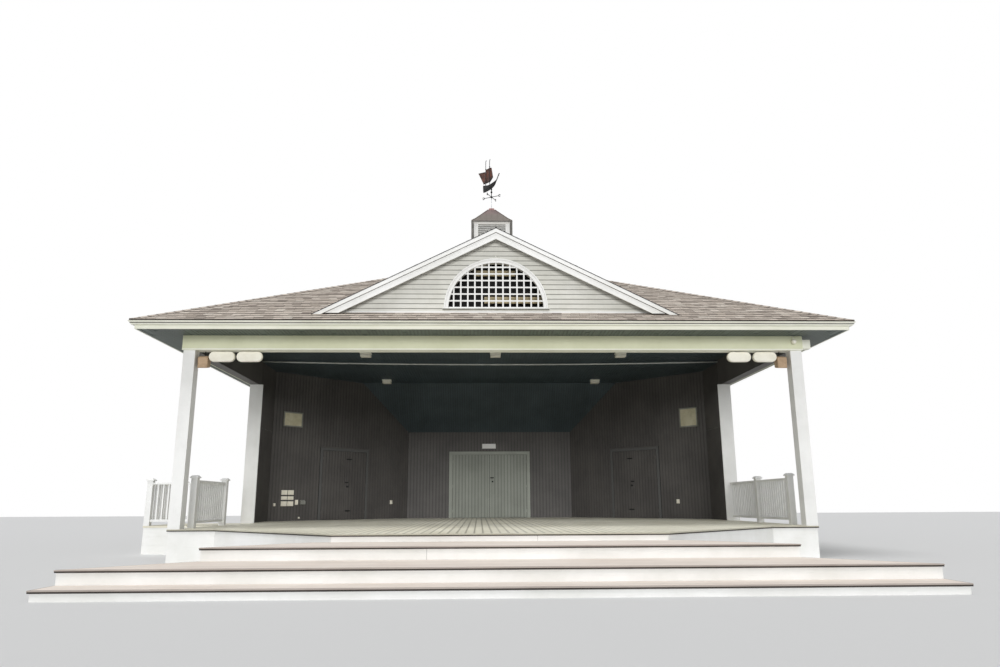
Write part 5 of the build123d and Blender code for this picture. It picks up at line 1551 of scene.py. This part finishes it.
# %% Boards on the leaves
def on_wall(piece, wall, along, up, depth=0.0):
    """Stand a piece, made with X along, Y out and Z up, on a wall."""
    origin, to_right, out = (Vector(v) for v in wall)
    matrix = Matrix((to_right.normalized(), out.normalized(), Vector((0, 0, 1)))).transposed().to_4x4()
    matrix.translation = origin + to_right.normalized() * along + out.normalized() * depth + Vector((0,
                                                                                                     0, up))
    piece.data.transform(matrix)
    if matrix.determinant() < 0:
        piece.data.flip_normals()
    return piece


LEAF_FACE = 18 * MM
LEAF_THICK = 45 * MM
SEAL_GAP = 0.25 * MM
LEAF_LOW, LEAF_HIGH = 0.010, 2.032
left_splay = ((-SPLAY_X, SPLAY_Y, FLOOR), (half_diagonal, half_diagonal, 0),
              (half_diagonal, -half_diagonal, 0))
STRIP = 56 * MM
MEETING = 6 * MM
REAR_LEAF, SPLAY_LEAF = 1.225, 0.79
for leaf, wall, side, half, finish in (
        ("rear_door_left", back_wall, -1, REAR_LEAF, grey_green),
        ("rear_door_right", back_wall, 1, REAR_LEAF, grey_green),
        ("left_door_front", left_splay, -1, SPLAY_LEAF, charcoal),
        ("left_door_rear", left_splay, 1, SPLAY_LEAF, charcoal),
        ("right_door_rear", right_splay, -1, SPLAY_LEAF, charcoal),
        ("right_door_front", right_splay, 1, SPLAY_LEAF, charcoal)):
    near, far = sorted((side * (MEETING + STRIP), side * (half - 2 * MM)))
    boards = upright_boards(
        "leaf_boards", wall, near, far, LEAF_LOW + 2 * MM, LEAF_HIGH - 2 * MM, LEAF_HIGH - 2 * MM,
        finish, gap=7 * MM, thick=6 * MM, depth=LEAF_FACE)
    seal_near, seal_far = sorted((side * SEAL_GAP, side * (MEETING + 2 * MM)))
    seal = on_wall(board("seal", (seal_near, -LEAF_THICK + 4 * MM, LEAF_LOW), (seal_far, 0, LEAF_HIGH),
                         rubber_seal, 0),
                   wall, 0, 0, LEAF_FACE)
    joined(leaf + "_boards", [boards, seal], leaf)

# %% [markdown]
# ## Small fittings
# What hangs on the walls and beams is set out from the walls that carry it. A
# fitting is made flat, with X along the wall, Y out of it and Z up, and then
# stood against its wall. The sign and the notice boards are plain painted
# boards. The outlets are boxes with a sloping cover, and the splayed doorways
# get a drip cap, with black strips under it and beside the casing that paint
# the shade of open joints.


# %% Fittings on the walls
BOARD_FACE = 6 * MM
FRAME = 35 * MM
fittings = []
for wall, along0, along1, low, high in (
        (left_splay, -2.18, -1.55, 2.66, 3.09), (right_splay, 1.66, 2.25, 2.63, 3.20)):
    middle, half_wide, half_high = (along0 + along1) / 2, (along1 - along0) / 2, (high - low) / 2
    panel = board("notice", (-half_wide, 0, -half_high), (half_wide, 16 * MM, half_high), notice_cream,
                  2 * MM)
    fittings.append(on_wall(panel, wall, middle, (low + high) / 2, BOARD_FACE))
    for x0, x1, z0, z1 in (
            (-half_wide, half_wide, half_high - FRAME, half_high),
            (-half_wide, half_wide, -half_high, -half_high + FRAME),
            (-half_wide, -half_wide + FRAME, -half_high, half_high),
            (half_wide - FRAME, half_wide, -half_high, half_high)):
        edge = board("frame", (x0, 12 * MM, z0), (x1, 26 * MM, z1), grey_paint_and_sill_shade, 3 * MM)
        fittings.append(on_wall(edge, wall, middle, (low + high) / 2, BOARD_FACE))
sign = board("door_sign", (-0.225, 0, -0.078), (0.225, 14 * MM, 0.078), white_level, 3 * MM)
fittings.append(on_wall(sign, back_wall, -0.02, 2.315, BOARD_FACE))

# Each splayed doorway has a drip cap over its casing, and black strips that paint the shade under the cap and
# in the joints beside the casing
for wall in (left_splay, right_splay):
    for name, x0, x1, low, high, proud, finish in (
            ("drip_cap", -CASING_OUT - 0.03, CASING_OUT + 0.03, CASING_TOP, CASING_TOP + 0.028, 40 * MM,
             charcoal),
            ("cap_shadow_strip", -CASING_OUT, CASING_OUT, CASING_TOP - 0.022, CASING_TOP, 19.5 * MM, painted_shade_black),
            ("left_shade_strip", -CASING_OUT - 0.012, -CASING_OUT, 0.0, CASING_TOP, 8 * MM, painted_shade_black),
            ("right_shade_strip", CASING_OUT, CASING_OUT + 0.012, 0.0, CASING_TOP, 8 * MM, painted_shade_black)):
        fittings.append(on_wall(board(name, (x0, 0, low), (x1, proud, high), finish, 0), wall, 0, 0))


def outlet(wall, along, up, wide=0.115, high=0.13, proud=45 * MM):
    """A weatherproof outlet box with a sloping hinged cover."""
    box = board("outlet_box", (-wide / 2, 0, -high / 2), (wide / 2, proud * 0.7, high / 2),
                outlet_plastic, 6 * MM)
    cover = plate(
        "outlet_cover", [(0, -high * 0.44), (proud * 0.30, -high * 0.44), (proud * 0.12, high * 0.44),
                         (0, high * 0.44)],
        (-wide * 0.42, proud * 0.7, 0), (0, 1, 0), (0, 0, 1), (wide * 0.84, 0, 0), outlet_plastic, 2 * MM)
    return [on_wall(piece, wall, along, up, BOARD_FACE) for piece in (box, cover)]


for column in (-2.022, -1.815):
    for row, high in ((0.477, 0.137), (0.634, 0.10), (0.789, 0.132)):
        fittings += outlet(left_splay, column, row, 0.182, high)
for along, up, wide, high in ((-1.614, 0.515, 0.09, 0.14), (-2.319, 0.45, 0.062, 0.082),
                              (1.82, 0.51, 0.08, 0.12), (-1.516, 0.083, 0.04, 0.05)):
    fittings += outlet(left_splay, along, up, wide, high)
fittings += outlet(right_splay, 1.46, 0.49, 0.09, 0.12)
hood = plate("grey_hood", [(0, -0.062), (75 * MM, -0.062), (75 * MM, 0.02), (20 * MM, 0.062), (0, 0.062)],
             (-0.075, 0, 0), (0, 1, 0), (0, 0, 1), (0.15, 0, 0), grey_paint_and_sill_shade, 4 * MM)
fittings.append(on_wall(hood, left_splay, -1.426, 0.517, BOARD_FACE))
joined("wall_fittings", fittings)

# %% [markdown]
# ## Latches and bolts
# Each pair of doors has a turned knob and a flat hasp, and the splayed doors
# have two sliding bolts as well. They are made like the other fittings, but
# each set is one piece that rides on its leaf.

# %% Latches and bolts ride on the leaf that carries them
for leaf, wall, side, up, reach in (
        ("rear_door_right", back_wall, 1, 1.16, 0.05), ("left_door_rear", left_splay, 1, 0.98, 0.05),
        ("right_door_rear", right_splay, -1, 0.98, -0.05)):
    rose_profile = in_mm([(0, 0), (26, 0), (26, 4), (12, 8), (12, 30), (24, 38), (26, 50), (18, 58), (0, 60)])
    rose = turned("rose", rose_profile, (0, 0, 0), (0, 1, 0), black_iron, 16)
    hasp = board("hasp", (-0.06, 0, -0.018), (0.06, 5 * MM, 0.018), black_iron)
    pieces = [on_wall(rose, wall, reach + side * 0.05, up, LEAF_FACE + 8 * MM),
              on_wall(hasp, wall, reach + side * 0.03, up + 0.12, LEAF_FACE + 8 * MM)]
    if wall is not back_wall:
        for height in (0.26, 1.80):
            bolt = rod("bolt", [(-0.11, 14 * MM, 0), (0, 14 * MM, 0), (0.11, 14 * MM, 0)], 6 * MM,
                       black_iron)
            keep = board("bolt_plate", (-0.08, 0, -0.018), (0.08, 9 * MM, 0.018), black_iron)
            pieces += [on_wall(piece, wall, side * 0.15, height, LEAF_FACE + 6 * MM) for piece in (bolt,
                                                                                                   keep)]
    joined(leaf + "_latch", pieces, leaf)

# %% [markdown]
# ## Lamps
# Long rounded fluorescent lamps hang under the front beam, with a floodlight
# beside each post, and small box lamps hang from the ceiling. A pale conduit
# crosses the ceiling between them and sags a little.

# %% Lamps and conduit
CAPSULE_STEPS = 12


def capsule(half_long, half_high):
    """The outline of a slot with round ends, in X and Z."""
    straight = half_long - half_high
    ends = [math.pi * (k / CAPSULE_STEPS - 0.5) for k in range(CAPSULE_STEPS + 1)]
    right_end = [(straight + half_high * math.cos(a), half_high * math.sin(a)) for a in ends]
    return right_end + [(-x, -z) for x, z in right_end]


lamps = []
LAMP_Z = 4.03
for x0, x1 in ((-5.87, -5.33), (-5.31, -4.77), (4.81, 5.32), (5.35, 5.86)):
    middle = (x0 + x1) / 2
    lens = plate("lens", capsule((x1 - x0) / 2 - 0.008, 0.106), (middle, -0.055, LAMP_Z), (1, 0, 0),
                 (0, 0, 1), (0, 0.08, 0), lamp_diffuser, 14 * MM)
    tray = plate("tray", capsule((x1 - x0) / 2 - 0.02, 0.096), (middle, 0.025, LAMP_Z), (1, 0, 0),
                 (0, 0, 1), (0, 0.035, 0), gutter_enamel, 6 * MM)
    stem = board("stem", (middle - 0.03, 0.03, LAMP_Z + 0.09), (middle + 0.03, 0.055, 4.15), gutter_enamel)
    lamps += [lens, tray, stem]
for side, inner in ((-1, 5.85), (1, 5.83)):
    x = side * (inner + 0.115)
    housing = plate("flood", [(-0.09, -0.10), (0.10, -0.14), (0.115, 0.09), (-0.04, 0.135), (-0.10, 0.06)],
                    (x - 0.10, 0.02, 3.925), (0, -1, 0), (0, 0, 1), (0.20, 0, 0), tan_flood, 18 * MM)
    arm = rod("flood_arm", [(x, 0.05, 3.98), (x, 0.06, 4.08), (x, 0.06, 4.15)], 11 * MM, black_iron)
    lamps += [housing, arm]
globe_profile = in_mm([(0, 0), (40, 0), (40, 22), (47, 34), (50, 58), (40, 82), (22, 95), (0, 99)])
lamps.append(turned("globe", globe_profile, (6.18, BEAM_FRONT, 4.325), (0, -1, 0), lamp_diffuser, 24))
lamps.append(rod("globe_conduit", [(6.18, BEAM_FRONT - 12 * MM, 4.36), (6.18, BEAM_FRONT - 12 * MM, 4.445)],
                 9 * MM, gutter_enamel))
lamps.append(board("beam_box", (SIDE + CASING, -0.10, 4.19), (6.56, 0.06, 4.385), cream, 8 * MM))
BOX_HALF_X, BOX_HALF_Y = 0.13, 0.11
RIM = 0.01
for x, y in ((-3.24, 3.59), (0.07, 3.59), (3.29, 3.59), (-3.22, 7.90), (3.28, 7.90)):
    lamps.append(board("lamp_box", (x - BOX_HALF_X, y - BOX_HALF_Y, CEILING_Z - 0.115),
                       (x + BOX_HALF_X, y + BOX_HALF_Y, CEILING_Z - 0.03),
                       lamp_diffuser, 12 * MM))
    lamps.append(board("lamp_top", (x - BOX_HALF_X - RIM, y - BOX_HALF_Y - RIM, CEILING_Z - 0.035),
                       (x + BOX_HALF_X + RIM, y + BOX_HALF_Y + RIM, CEILING_Z),
                       gutter_enamel, 4 * MM))
CONDUIT_SAG = 0.08
CONDUIT_HALF = 6.11
conduit = []
for k in range(13):
    part = k / 6 - 1
    conduit.append((CONDUIT_HALF * part, 4.56, CEILING_Z - 0.052 - CONDUIT_SAG * (1 - part ** 2)))
lamps.append(rod("conduit", conduit, 20 * MM, conduit_grey, 10))
joined("lamps_and_conduit", lamps)

# %% [markdown]
# ## Light and floor
# The floor is plain and pale. Two suns are soft, like a bright cloudy day,
# one from above and one from the front. A weak wide lamp lies over the stage,
# and the background is white only for the camera and for reflections.

# %% Light and floor
world = bpy.data.worlds.new("soft_studio")
bpy.context.scene.world = world
world.use_nodes = True
sky = world.node_tree
background = sky.nodes["Background"]
rays = add(sky, "ShaderNodeLightPath").outputs
shown = add(sky, "ShaderNodeMath", {0: rays["Is Camera Ray"], 1: rays["Is Glossy Ray"]},
            operation="MAXIMUM")
seen = add(sky, "ShaderNodeMath", {0: shown.outputs[0], 1: rays["Is Transmission Ray"]},
           operation="MAXIMUM")
SKY_LIGHT = 0.32
grey_sky = (SKY_LIGHT * 0.96, SKY_LIGHT * 0.98, SKY_LIGHT, 1)
tone = add(sky, "ShaderNodeMix", {0: seen, 6: grey_sky, 7: (1, 1, 1, 1)}, data_type="RGBA")
sky.links.new(tone.outputs[2], background.inputs["Color"])
background.inputs["Strength"].default_value = 1.0


def soft_sun(name, strength, spread, toward):
    """A sun whose light comes from a wide part of the sky, in degrees."""
    lamp = in_scene(name, bpy.data.lights.new(name, "SUN"))
    lamp.data.energy = strength
    lamp.data.angle = math.radians(spread)
    lamp.rotation_euler = Vector(toward).to_track_quat("-Z", "Y").to_euler()


soft_sun("high_key_light", 1.5, 30, (0.22, 0.35, -1.0))
soft_sun("low_front_fill", 1.35, 20, (-0.05, 1.0, -0.2))

# A weak wide lamp over the stage keeps the room under the roof readable
stage_lamp = in_scene("stage_fill", bpy.data.lights.new("stage_fill", "AREA"))
stage_lamp.data.shape = "RECTANGLE"
stage_lamp.data.size = 11.0
stage_lamp.data.size_y = 6.0
stage_lamp.data.energy = 125
stage_lamp.location = (0, 3.3, 4.15)
stage_lamp.visible_camera = False

floor_mesh = bpy.data.meshes.new("floor")
REACH = 60
floor_mesh.from_pydata(
    [(-REACH, -REACH, 0), (REACH, -REACH, 0), (REACH, REACH, 0), (-REACH, REACH, 0)], [], [(0, 1, 2, 3)])
floor = in_scene("floor", floor_mesh)
pale, _, pale_shader, _ = new_material("pale_floor", 0.9)
pale_shader.inputs["Base Color"].default_value = paint("dcdcdc")
floor_mesh.materials.append(pale)
